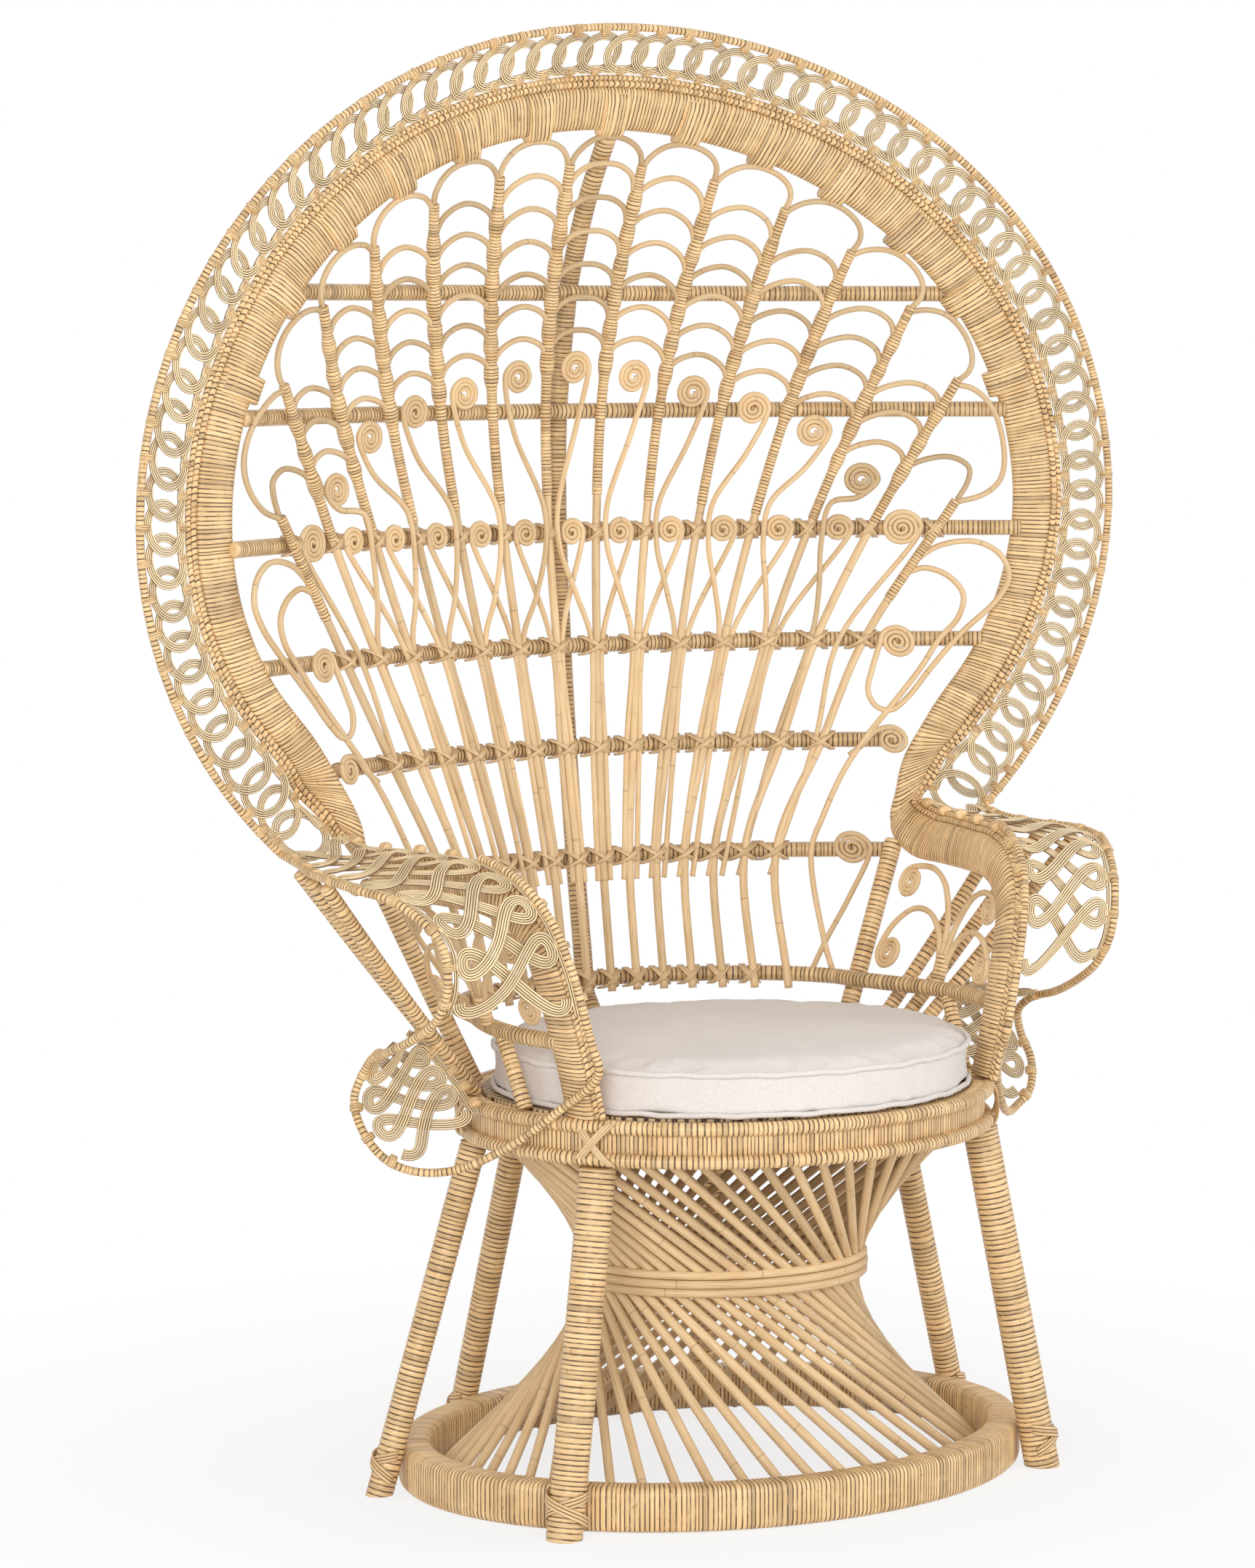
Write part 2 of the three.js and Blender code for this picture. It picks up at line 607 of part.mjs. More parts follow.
// Flat net: a grid of places with one four-cornered gap in each cell
function net(grid) {
  const rows = grid.length;
  const columns = grid[0].length;
  const { clamp } = THREE.MathUtils;
  const place = (i, j) => grid[clamp(i, 0, rows - 1)][clamp(j, 0, columns - 1)];
  const positions = [];
  const index = [];
  const both = (p, face) => {
    const first = positions.length / 3;
    positions.push(...p.clone().add(face).toArray(), ...p.clone().sub(face).toArray());
    return { top: first, bottom: first + 1, p, face };
  };
  const corners = grid.map((row, i) => row.map((p, j) => {
    const along = place(i + 1, j).clone().sub(place(i - 1, j));
    const across = place(i, j + 1).clone().sub(place(i, j - 1));
    return both(p, along.cross(across).setLength(lace.thickness / 2));
  }));
  const quad = (a, b, c, d) => index.push(a, b, c, a, c, d);
  for (let i = 0; i < rows - 1; i += 1) {
    for (let j = 0; j < columns - 1; j += 1) {
      const around = [corners[i][j], corners[i + 1][j], corners[i + 1][j + 1], corners[i][j + 1]];
      const middle = around.reduce((sum, c) => sum.add(c.p), point(0, 0, 0)).divideScalar(4);
      const face = around.reduce((sum, c) => sum.add(c.face), point(0, 0, 0)).setLength(lace.thickness / 2);
      const hole = around.map((c, k) => {
        const side = c.p.clone().lerp(around[(k + 1) % 4].p, 0.5);
        return both(middle.clone().lerp(side, laceHoleShare), face);
      });
      around.forEach((c, k) => {
        const next = around[(k + 1) % 4];
        const here = hole[k];
        const after = hole[(k + 1) % 4];
        index.push(c.top, next.top, here.top, next.top, after.top, here.top);
        index.push(c.bottom, here.bottom, next.bottom, next.bottom, here.bottom, after.bottom);
        quad(here.top, after.top, after.bottom, here.bottom);
      });
    }
  }
  const wall = (a, b) => quad(a.top, a.bottom, b.bottom, b.top);
  for (let i = 0; i < rows - 1; i += 1) {
    wall(corners[i][0], corners[i + 1][0]);
    wall(corners[i + 1][columns - 1], corners[i][columns - 1]);
  }
  for (let j = 0; j < columns - 1; j += 1) {
    wall(corners[0][j + 1], corners[0][j]);
    wall(corners[rows - 1][j], corners[rows - 1][j + 1]);
  }
  return closedSkin(positions, index);
}

// Net between two lines of places, which keeps clear of the canes that run along them
function netBetween(inner, outer, innerGap, outerGap, columns) {
  const square = (line, i, across) => {
    const along = line[Math.min(i + 1, line.length - 1)].clone().sub(line[Math.max(i - 1, 0)]);
    return Math.sin(along.angleTo(across));
  };
  return net(inner.map((from, i) => {
    const across = outer[i].clone().sub(from).normalize();
    const start = from.clone().addScaledVector(across, innerGap / square(inner, i, across));
    const end = outer[i].clone().addScaledVector(across, -outerGap / square(outer, i, across));
    return Array.from({ length: columns + 1 }, (_, j) => start.clone().lerp(end, j / columns));
  }));
}

const trimInset = trimRadius + clear;
const rimInset = rimRadius + 2 * clear;

function fanLace() {
  const run = trimPath.slice(armSpan, -armSpan);
  const count = neckShares.length;
  const head = run.slice(count, -count).flatMap((p, i, row) => {
    return i ? [row[i - 1].clone().lerp(p, 0.5), p] : [p];
  });
  const inner = [...run.slice(0, count), ...head, ...run.slice(-count)];
  return netBetween(inner, rimPath, trimInset, rimInset, 1);
}

function wingLace(side) {
  const outer = wingRimPath(side).slice(0, armSpan - 1);
  const inner = armTrim(side).slice(0, armSpan - 1);
  const start = lace.thickness / 2 + lace.endGap;
  const pull = (row) => row[0].clone().add(row[1].clone().sub(row[0]).setLength(start));
  const from = [pull(inner), ...inner.slice(1)];
  const to = [pull(outer), ...outer.slice(1)];
  return netBetween(from, to, trimInset, rimInset, lace.wingColumns);
}

function lobeLace(side) {
  const inner = mirrored(lobeShares.map(wingPlace), side);
  const outer = wingRimPath(side).slice(lobeFirst, lobeFirst + lobeShares.length);
  const cutter = cane(wingRimPath(side), rimRadius + clear, caneCorners);
  return cutBy(netBetween(inner, outer, 0, rimInset, lace.lobeColumns), [cutter]);
}

// Horseshoe rail above the seat, and the brace from it down to the seat ring
function horseshoePath() {
  const { z, halfWidth, back, front, shellSteps } = horseshoe;
  const bend = Array.from({ length: shellSteps + 1 }, (_, i) => {
    return onShell((horseshoeShellShare * halfWidth * i) / shellSteps, z, 0);
  });
  const arms = horseshoeShares.map(([x, y]) => point(x * halfWidth, y * (y > 0 ? back : front), z));
  return [...mirrored([...bend, ...arms], -1).reverse(), ...bend.slice(1), ...arms];
}

const horseshoeRail = (grow) => cane(horseshoePath(), rail.radius + grow, postCorners, point(0, 0, 1));
const horseshoeCutter = horseshoeRail(clear);

function seatBackRail() {
  return cutBy(horseshoeRail(0), [bandCutter]);
}

function armBrace(side) {
  const top = point(side * brace.topX, -brace.topOffset, horseshoe.z);
  return standing(postFoot(side * brace.angle), top, brace.radius, postCorners, [horseshoeCutter]);
}

// Scrollwork under the arm
function panelPlace(y, z) {
  const rise = (z - seatTop) / (neckPost.topZ - seatTop);
  const backX = mix(postFoot(neckPost.angle).x, neckPost.topX, rise);
  const share = (armScroll.backReach - y) / (armScroll.backReach + armScroll.frontReach);
  const x = mix(backX, armX(-armScroll.frontReach, z), share) + armScroll.bulge * Math.sin(Math.PI * share);
  return point(x, y, z);
}

const scrollPitch = 2 * scroll.wire + scroll.gap;

// Least gap of a wound cane to itself, between places at least half a turn apart
function leastGap(path, radius) {
  const apart = scroll.steps / 2;
  const gaps = path.flatMap((p, i) => path.slice(i + apart).map((q) => p.distanceTo(q) - 2 * radius));
  return Math.min(...gaps);
}

function crookPath({ path, eye, curl, side, start }) {
  const radius = curl * armScroll.curl;
  const steps = Math.round((radius - scroll.eye) / scrollPitch * scroll.steps);
  const place = ([along, up]) => [along * armScroll.reach, horseshoe.z + up * armScroll.height];
  const [y, z] = place(eye);
  const turns = Array.from({ length: steps + 1 }, (_, i) => {
    const turn = 2 * Math.PI * (start + i / scroll.steps);
    const reach = mix(radius, scroll.eye, i / steps);
    return panelPlace(y + side * reach * Math.sin(turn), z + reach * Math.cos(turn));
  });
  return [...path.map((row) => panelPlace(...place(row))), ...turns];
}

function armScrollwork(side) {
  const foot = panelPlace(-armScroll.stemOffset, horseshoe.z);
  const top = panelPlace(-armScroll.stemOffset, horseshoe.z + stemShare * armScroll.height);
  const stem = rod(foot, top, armScroll.stemRadius, legCorners);
  const canes = crookShares.map((spec) => cane(crookPath(spec), armScroll.wire, thinCorners));
  const whole = unionOf([stem, ...canes]);
  return cutBy(side > 0 ? whole : whole.mirror([1, 0, 0]), [horseshoeCutter]);
}

// Rails across the shell
function railEnd(z) {
  const top = neckShares[0].innerZ * fan.centreZ;
  const bottom = neckShares[2].innerZ * fan.centreZ;
  if (z < top) {
    const share = mix(neckShares[2].innerX, neckShares[0].innerX, Math.max(0, (z - bottom) / (top - bottom)));
    return share * fan.inner.halfWidth;
  }
  const height = z > fan.centreZ ? fan.inner.rise : fan.inner.drop;
  return fan.inner.halfWidth * Math.sqrt(1 - ((z - fan.centreZ) / height) ** 2);
}

function backRail(z) {
  const end = railEnd(z) + rail.bury;
  const points = Array.from({ length: rail.steps + 1 }, (_, i) => {
    return onShell(end * ((2 * i) / rail.steps - 1), z, 0);
  });
  const branchCutter = cane(branch(lowBranchPlace - 0.5, 1), arch.radius + clear, thinCorners);
  const posts = [neckPostRod(-1, clear), neckPostRod(1, clear)];
  const branches = [branchCutter, branchCutter.mirror([1, 0, 0])];
  return cutBy(cane(points, rail.radius, postCorners), [bandCover, ...posts, ...branches]);
}

function backSpine() {
  const offset = rail.radius + spine.radius + clear;
  const crown = fan.centreZ + fan.inner.rise;
  const low = onShell(0, horseshoe.z, -offset);
  const heights = [...[...railHeights].reverse(), railHeights[0] + spine.straight];
  const middle = [low, ...heights.map((z) => onShell(0, z, -offset))];
  const end = fanPoint(fan.inner, 0).setZ(crown + rail.bury);
  const fade = [onShell(0, crown - spine.fade / 2, -offset / 2), end];
  const foot = postFoot(180);
  const knee = [point(0, spine.kneeY, spine.kneeZ), low.clone().setZ(horseshoe.z - spine.straight)];
  const path = [foot.setZ(seatTop - overrun), ...knee, ...middle, ...fade];
  return cutBy(cane(path, spine.radius, postCorners), [bandCutter, seatFloor]);
}

// Lines that the ribs follow: u counts rib steps from the middle
function ribX(u, z) {
  const spread = THREE.MathUtils.clamp((z - rib.growFrom) / (rib.growTo - rib.growFrom), 0, 1);
  const level = railHeights[5];
  const reach = Math.max(z, level) - rib.focusZ;
  const narrow = lowerRibShare * Math.max(level - z, 0);
  return u * ribStepShare * (reach * (1 + ribGrowthShare * u * u * spread) - narrow);
}

// Height at which a rib line meets an oval that lies inside the band by a gap
function meetHeight(u, gap) {
  let [low, high] = [fan.centreZ, fan.centreZ + fan.inner.rise - gap];
  for (let i = 0; i < halvings; i += 1) {
    const z = (low + high) / 2;
    const across = ribX(u, z) / (fan.inner.halfWidth - gap);
    const up = (z - fan.centreZ) / (fan.inner.rise - gap);
    if (Math.hypot(across, up) < 1) low = z;
    else high = z;
  }
  return low;
}

const sideStep = rib.rodRadius + rib.sideRadius - rib.bite;
const nearLift = rail.radius + clear + rib.sideRadius;
const ribLift = rail.radius + clear + rib.rodRadius;
const archLift = rail.radius + clear + arch.radius;
const frontLift = nearLift + rib.sideRadius + scroll.wire + rib.crossGap;
const upperScrollZ = (column) => scroll.upperTop - scroll.upperDrop * upperDropShares[column];

// Flat scroll from its outer edge inwards; start is the side where it begins, 1 or -1
function scrollTurns(x, z, radius, start, lift) {
  const turns = (radius - scroll.eye) / scrollPitch;
  const steps = Math.round(turns * scroll.steps);
  return Array.from({ length: steps + 1 }, (_, i) => {
    const turn = (2 * Math.PI * i) / scroll.steps;
    const reach = mix(radius, scroll.eye, i / steps);
    return onShell(x + start * reach * Math.cos(turn), z + reach * Math.sin(turn), lift);
  });
}

function ribPath(u) {
  const top = meetHeight(u, rib.topGap);
  const crossings = [...railHeights].reverse().filter((z) => z < top - rib.topGap);
  return [rib.footZ, ...crossings, top].map((z) => onShell(ribX(u, z), z, ribLift));
}

function sideFoot(u, step) {
  return [rib.cutZ, railHeights[4], railHeights[3] + rib.split]
    .map((z) => onShell(ribX(u, z) + step / Math.hypot(1, slopeX(ribX(u, z), z)), z, ribLift));
}

// Inner cane of a rib: crosses to the next rib at the third rail and ends in a scroll above it
function innerCane(u) {
  const foot = sideFoot(u, -sideStep);
  const z = railHeights[2];
  const hugX = (level) => ribX(u - 1, level) + rib.rodRadius + rib.sideRadius + rib.hugGap;
  const column = u - 0.5;
  const scrollZ = upperScrollZ(column);
  const x = ribX(column, scrollZ);
  const crossX = mix(foot.at(-1).x, hugX(z), crossingShare.across);
  const crossing = [
    onShell(crossX, mix(railHeights[3], z, crossingShare.rise), frontLift),
    onShell(hugX(z), z - scroll.radius, frontLift),
    onShell(hugX(z + 2 * scroll.radius), z + 2 * scroll.radius, frontLift),
  ];
  const riseX = mix(hugX(z), x + scroll.upperRadius, scrollRiseShare.across);
  const rise = onShell(riseX, mix(z, scrollZ, scrollRiseShare.up), nearLift);
  return [...foot, ...crossing, rise, ...scrollTurns(x, scrollZ, scroll.upperRadius, 1, nearLift)];
}

// Outer cane of a rib: ends in a scroll on the third rail
function outerCane(u) {
  const z = railHeights[2];
  return [...sideFoot(u, sideStep), ...scrollTurns(ribX(u + 0.5, z), z, scroll.radius, 1, nearLift)];
}

// Cane of the first rib on the left that ends in the middle scroll of the third rail
function middleCane() {
  return [...sideFoot(0.5, -sideStep), ...scrollTurns(0, railHeights[2], scroll.radius, -1, nearLift)];
}

// Cane of the last rib that ends in the big scroll of the third rail
function bigScrollCane(u) {
  const z = railHeights[2];
  const foot = sideFoot(u, -sideStep).slice(0, 2);
  const level = railHeights[3];
  const between = onShell(ribX(u - 0.5, level), level, nearLift);
  return [...foot, between, ...scrollTurns(ribX(u - 0.5, z), z, scroll.bigRadius, 1, nearLift)];
}

// Fish-scale arch from one rib to the next, with its crown at a height
function archPath(column, crown) {
  const endGap = rib.rodRadius + arch.radius + clear;
  const width = ribStepShare * (crown - rib.focusZ);
  const shape = column === 0 ? levelArchShares : archShares;
  return shape.map(([across, down]) => {
    const z = crown - down * width;
    const x = column === 0 ? -ribX(across, z) : ribX(column + across, z);
    return onShell(across === 0.5 ? x - Math.sign(x) * endGap : x, z, archLift);
  });
}

function archCrowns(column) {
  const first = upperScrollZ(column) + scroll.upperRadius + arch.overScroll;
  const rise = ribStepShare * (meetHeight(column, 0) - rib.focusZ) * archShares.at(-1)[1];
  const last = meetHeight(column + 0.5, rib.topGap) - rib.tail - 4 * arch.radius + rise;
  const count = archCounts[column];
  return Array.from({ length: count }, (_, i) => mix(first, last, i / (count - 1)));
}

// Branch from the top of a rib to the band, leaning to one side
function branch(u, lean) {
  const top = meetHeight(u, rib.topGap);
  const end = u + lean * branchEndShare;
  const edge = meetHeight(end, 0);
  const level = (edge - fan.centreZ) / fan.inner.rise;
  return [
    onShell(ribX(u, top - rib.tail), top - rib.tail, archLift),
    ...branchShares.map(({ across, up }) => {
      return onShell(ribX(mix(u, end, across), top), mix(top, edge, up), archLift);
    }),
    point(ribX(end, edge), fan.sideY + fan.topBack * level ** 3, edge + rail.bury),
  ];
}

const ribCore = (u, grow) => cane(ribPath(u), rib.rodRadius + grow, caneCorners);

function scrollCane(place, side) {
  if (place === rib.count) return bigScrollCane(place - 0.5);
  if (place === 1 && side < 0) return middleCane();
  return innerCane(place - 0.5);
}

// Branches and arches that a rib carries; the first rib on the right has those of the middle column too
function thinPaths(place, side) {
  const u = place - 0.5;
  if (place === rib.count) return [branch(u, 1)];
  const crowns = place === rib.count - 1 ? [arch.lastCrown] : archCrowns(place);
  const arches = crowns.map((crown) => archPath(place, crown));
  const middle = place === 1 && side > 0 ? archCrowns(0).map((crown) => archPath(0, crown)) : [];
  return [branch(u, 1), branch(u, -1), ...arches, ...middle];
}

function ribPiece(place, side) {
  const u = place - 0.5;
  const inner = cane(scrollCane(place, side), rib.sideRadius, thinCorners);
  const outerPaths = place < rib.count - 1 ? [outerCane(u)] : [];
  const outer = outerPaths.map((path) => cane(path, rib.sideRadius, thinCorners, point(0, -1, 0)));
  const thin = thinPaths(place, side).map((path) => cane(path, arch.radius, thinCorners));
  const whole = unionOf([ribCore(u, 0), inner, ...outer, ...thin]);
  return cutBy(side > 0 ? whole : whole.mirror([1, 0, 0]), [bandCover, horseshoeCutter]);
}

// Side loop between the last rib, the band and the horseshoe rail
const loopPlace = ([x, z]) => onShell(x * fan.inner.halfWidth, z * fan.centreZ, nearLift);

function sideLoop(side) {
  const parts = loopTailShares.map(({ path, eye, radius, start }) => {
    const [x, z] = [eye[0] * fan.inner.halfWidth, eye[1] * fan.centreZ];
    const turns = scrollTurns(x, z, radius, start, nearLift);
    return cane([...path.map(loopPlace), ...turns], rib.sideRadius, thinCorners);
  });
  const whole = unionOf([cane(loopShares.map(loopPlace), rib.sideRadius, thinCorners), ...parts]);
  const cut = cutBy(whole, [ribCore(rib.count - 0.5, clear)]);
  return cutBy(side > 0 ? cut : cut.mirror([1, 0, 0]), [bandCover, horseshoeCutter]);
}

// Loose cushion: two piped edges, drawn-in sides and a crowned top
function seatCushion() {
  const { side, crown, pinch, seam, steps } = cushion;
  const bottom = seatTop + clear;
  const profile = [
    [2 * seam, 0, 1], [0, seam, 1], [seam, 2 * seam, 1], [pinch, side / 2, 1], [seam, side - 2 * seam, 1],
    [0, side - seam, 1], [2 * seam, side, 1],
    ...crownShares.map(([up, across]) => [2 * seam, side + crown * up, across]),
  ];
  const rings = profile.map(([inset, up, share]) => Array.from({ length: steps }, (_, i) => {
    const p = ovalPlace(cushion, (360 * i) / steps, inset);
    return point(p.x * share, mix(-cushion.offset, p.y, share), bottom + up);
  }));
  return loft(rings, false);
}

addPiece('base_ring', baseRing(), wrapped);
addPiece('hourglass_weave', hourglass(), rattan);
addPiece('seat_ring', seatRing(), wrapped);
addPiece('seat_deck', seatDeck(), rattan);
addPiece('fan_band', fanBand(), wrapped);
addPiece('band_trim', trim(), wrapped);
addPiece('fan_rim', cane(rimPath, rimRadius, caneCorners), paleCane);
addPiece('fan_lace', fanLace(), paleCane);
addPiece('seat_back_rail', seatBackRail(), wrapped);
addPiece('back_spine', backSpine(), wrapped);
railHeights.forEach((z, i) => addPiece(`back_rail_${i + 1}`, backRail(z), wrapped));
sides.forEach(([name, side]) => {
  legs.forEach((spec) => addPiece(`${spec.name}_${name}`, leg(spec, side), wrapped));
  addPiece(`arm_band_${name}`, armBand(side), wrapped);
  addPiece(`neck_post_${name}`, cutBy(neckPostRod(side, 0), [bandCutter]), wrapped);
  strut.angles.forEach((_, i) => addPiece(`wing_strut_${name}_${i + 1}`, wingStrut(i, side), wrapped));
  addPiece(`arm_brace_${name}`, armBrace(side), wrapped);
  addPiece(`arm_scroll_${name}`, armScrollwork(side), rattan);
  addPiece(`wing_rim_${name}`, wingRim(side), paleCane);
  addPiece(`wing_lace_${name}`, wingLace(side), paleCane);
  addPiece(`wing_lobe_${name}`, lobeLace(side), paleCane);
  addPiece(`side_loop_${name}`, sideLoop(side), rattan);
  for (let place = 1; place <= rib.count; place += 1) {
    addPiece(`rib_${name}_${place}`, ribPiece(place, side), rattan);
  }
});
addPiece('cushion', seatCushion(), cotton);

const wound = [
  ...crookShares.map((spec) => leastGap(crookPath(spec), armScroll.wire)),
  ...Array.from({ length: rib.count }, (_, i) => leastGap(scrollCane(i + 1, 1), rib.sideRadius)),
];
console.log(`Least gap of a scroll to itself: ${Math.min(...wound).toFixed(2)} mm`);

export default chair;
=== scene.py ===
"""Peacock chair: the woven looks of the chair, made around its packed frame.

Lengths in the shapes are millimetres from the axis of the base ring; pieces are made in metres.
"""

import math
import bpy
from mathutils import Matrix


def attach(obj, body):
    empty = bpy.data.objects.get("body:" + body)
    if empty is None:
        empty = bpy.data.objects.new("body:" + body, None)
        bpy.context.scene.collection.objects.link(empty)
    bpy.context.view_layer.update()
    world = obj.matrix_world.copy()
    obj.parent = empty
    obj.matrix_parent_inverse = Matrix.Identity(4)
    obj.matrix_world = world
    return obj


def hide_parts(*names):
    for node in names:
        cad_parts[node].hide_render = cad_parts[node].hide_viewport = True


bl_info = {
    "name": "Peacock Chair",
    "version": (1, 0, 0),
    "blender": (4, 5, 0),
    "location": "3D Viewport > Sidebar > Peacock Chair",
    "description": "Weaves the canes, bands, lace and cushion of a peacock chair",
    "category": "Object",
}

import bpy
import numpy as np
from mathutils import Vector

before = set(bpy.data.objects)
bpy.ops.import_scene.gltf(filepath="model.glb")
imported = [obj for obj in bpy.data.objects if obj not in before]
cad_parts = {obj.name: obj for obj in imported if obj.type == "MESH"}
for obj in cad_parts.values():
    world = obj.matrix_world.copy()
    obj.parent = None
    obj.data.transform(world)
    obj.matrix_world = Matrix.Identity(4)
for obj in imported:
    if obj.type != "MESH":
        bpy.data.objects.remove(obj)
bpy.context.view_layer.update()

MM = 0.001
MIDDLE = np.array([0.0, 22.3, 0.0])

# Rings of the base and the seat, as half width, half depth and how far forward of the axis they lie
BASE = {"width": 343, "depth": 271, "offset": 0, "height": 46, "wall": 34}
SEAT = {"width": 281, "depth": 243, "offset": 27, "bottom": 360, "height": 48, "wall": 18}
SEAT_TOP = SEAT["bottom"] + SEAT["height"]
# Posts, struts and braces end in a level cut a little over the seat ring
FOOT_Z = SEAT_TOP + 0.3
SIDES = ((-1, "left"), (1, "right"))

# Fan back: three ovals about one centre
FAN_Z, FAN_SIDE_Y, FAN_TOP_BACK, FAN_LOW_BACK = 989.5, 142, 63, 20
INNER = {"width": 481, "rise": 399, "drop": 371, "forward": 0, "flare": 0}
OUTER = {"width": 526, "rise": 444, "drop": 399, "forward": 10, "flare": 8}
RIM = {"width": 594, "rise": 504, "drop": 491, "forward": 26, "flare": 20}
BAND_END, RIM_END, BAND_THICK, FAN_ROWS = 128, 133, 16, 21
# Neck below the fan, as shares: inner edge across and up, outer edge across and up, and back
NECK = [
    (0.717, 0.716, 0.815, 0.724, 1.09), (0.688, 0.679, 0.763, 0.695, 1.05),
    (0.672, 0.643, 0.728, 0.671, 1.03),
]

# Arms, as shares: outer edge back and up, inner edge back and up, and how far the inner edge is tucked in
ARM_REACH, ARM_FLARE, ARM_TOE, ARM_DEPTH, ARM_TOP, ARM_TUCK = 238, 0.23, 0.2, 160, 650, 18
ARM_ROWS = [
    (0.63, 1, 0.66, 0.845, 1), (0.28, 0.998, 0.28, 0.825, 0.25), (-0.04, 0.995, -0.03, 0.82, 0),
    (-0.375, 0.985, -0.325, 0.81, 0), (-0.656, 0.925, -0.525, 0.77, 0), (-0.856, 0.795, -0.65, 0.685, 0),
    (-0.95, 0.61, -0.694, 0.57, 0), (-0.981, 0.41, -0.725, 0.4, 0), (-1, 0.195, -0.75, 0.195, 0),
]
ARM_COUNT = len(ARM_ROWS) + 1

# Wings and their lobes, as shares across, back and up
WING_WIDTH, WING_DEPTH, WING_TOP = 450, 150, 650
WING_END = (-140, 440)
WING_RIM = [
    (0.971, 0.567, 0.997), (0.996, 0.267, 0.992), (1.016, -0.067, 0.991), (1.007, -0.387, 0.983),
    (0.956, -0.7, 0.966), (0.902, -0.987, 0.911), (0.889, -1, 0.846), (0.887, -0.86, 0.795),
    (0.891, -0.673, 0.766), (0.904, -0.3, 0.729), (0.896, -0.033, 0.711), (0.893, 0.107, 0.686),
    (0.911, 0.147, 0.646), (0.916, 0.04, 0.605), (0.884, -0.08, 0.56), (0.827, -0.147, 0.537),
    (0.756, -0.333, 0.538), (0.667, -0.613, 0.578), (0.596, -0.867, 0.634),
]
LOBE_FIRST = 10
LOBE = [
    (0.767, 0.2, 0.738), (0.74, 0.193, 0.726), (0.716, 0.18, 0.708), (0.684, 0.147, 0.682),
    (0.662, 0.08, 0.658), (0.655, -0.04, 0.634), (0.655, -0.2, 0.612),
]

# Rails, ribs and the curved shell that they lie on
RAILS = [1218, 1092, 962, 840, 731, 613]
RAIL_R = 8.5
HORSESHOE_Z, HORSESHOE_WIDTH, HORSESHOE_BACK, HORSESHOE_FRONT = 483, 273, 241, 124
HORSESHOE_BEND = 0.7 * HORSESHOE_WIDTH
SHELL_Z, SHELL_RISE, SHELL_BACK, SHELL_LOW, SHELL_HIGH, SHELL_BOW = 1020, 383, 298, 57, 93, 164
RIB_COUNT, RIB_FOCUS, RIB_STEP, RIB_GROWTH, RIB_LOW = 7, 197, 0.0771, 0.0018, 0.22
RIB_R, SIDE_R, ARCH_R, RIB_TOP_GAP, RIB_TAIL = 4.5, 3.3, 3.2, 34, 25
ARCH_COUNTS = [6, 6, 6, 5, 4, 3]
SCROLL_R, BIG_SCROLL_R, UPPER_SCROLL_R = 14, 19, 17
LAST_RIB_TOP, LAST_CROWN = 992, 1040

# Posts by their angle round the seat and, but for the struts, the place of their top
POST_ANGLE, POST_TOP = 124, (322, 138, 624)
STRUT_ANGLES = (117.5, 112, 106.5)
BRACE_ANGLE, BRACE_TOP = 79, (272, -36, HORSESHOE_Z - 6)

# Cushion, as half width, half depth and how far forward of the axis it lies
CUSHION = {"width": 252, "depth": 231, "offset": 35}

# Hourglass, and legs as angle at the foot, angle at the top and radius
RODS, ROD_R, ROD_TURN, HOOP_Z = 48, 5.0, 120, 218
LEGS = {"front": (52, 58, 18.5), "side": (103, 108, 14), "back": (155, 153, 14)}

rng = np.random.default_rng(7)


# Lines and places

def unit(a):
    return a / np.maximum(np.linalg.norm(a, axis=-1, keepdims=True), 1e-9)


def arc(path):
    return np.concatenate([[0.0], np.cumsum(np.linalg.norm(np.diff(path, axis=0), axis=1))])


def pick(places, along, table):
    """Rows of a table at places, each between the two rows whose own places lie next to it."""
    return np.stack([np.interp(places, along, table[:, k]) for k in range(table.shape[1])], -1)


def at(path, places):
    """Points of a line at distances along it."""
    return pick(places, arc(path), path)


def even(path, step):
    length = arc(path)[-1]
    return at(path, np.linspace(0, length, max(2, int(round(length / step)) + 1)))


def spline(points, step, closed=False):
    """A smooth line through hand-placed points, with its places an even step apart."""
    p = np.asarray(points, float)
    if closed:
        p = np.concatenate([p[-1:], p, p[:2]])
    else:
        p = np.concatenate([2 * p[:1] - p[1:2], p, 2 * p[-1:] - p[-2:-1]])
    k = np.concatenate([[0.0], np.cumsum(np.sqrt(np.linalg.norm(np.diff(p, axis=0), axis=1)) + 1e-6)])
    out = []
    for i in range(1, len(p) - 2):
        t = np.linspace(k[i], k[i + 1], 10)[:-1, None]

        def mid(a, b, ka, kb):
            return ((kb - t) * a + (t - ka) * b) / (kb - ka)

        a1, a2, a3 = (mid(p[i - 1 + j], p[i + j], k[i - 1 + j], k[i + j]) for j in range(3))
        b1, b2 = mid(a1, a2, k[i - 1], k[i + 1]), mid(a2, a3, k[i], k[i + 2])
        out.append(mid(b1, b2, k[i], k[i + 1]))
    line = np.concatenate(out + [p[-2:-1]])
    return even(line, step)


def oval_place(oval, degrees, inset, z):
    """Places inside an oval by an inset, at angles from its front towards the right."""
    a = np.radians(np.asarray(degrees, float))
    out = unit(np.stack([oval["depth"] * np.sin(a), -oval["width"] * np.cos(a), 0 * a], -1))
    edge = np.stack([oval["width"] * np.sin(a), -oval["offset"] - oval["depth"] * np.cos(a), 0 * a + z], -1)
    return edge - inset * out


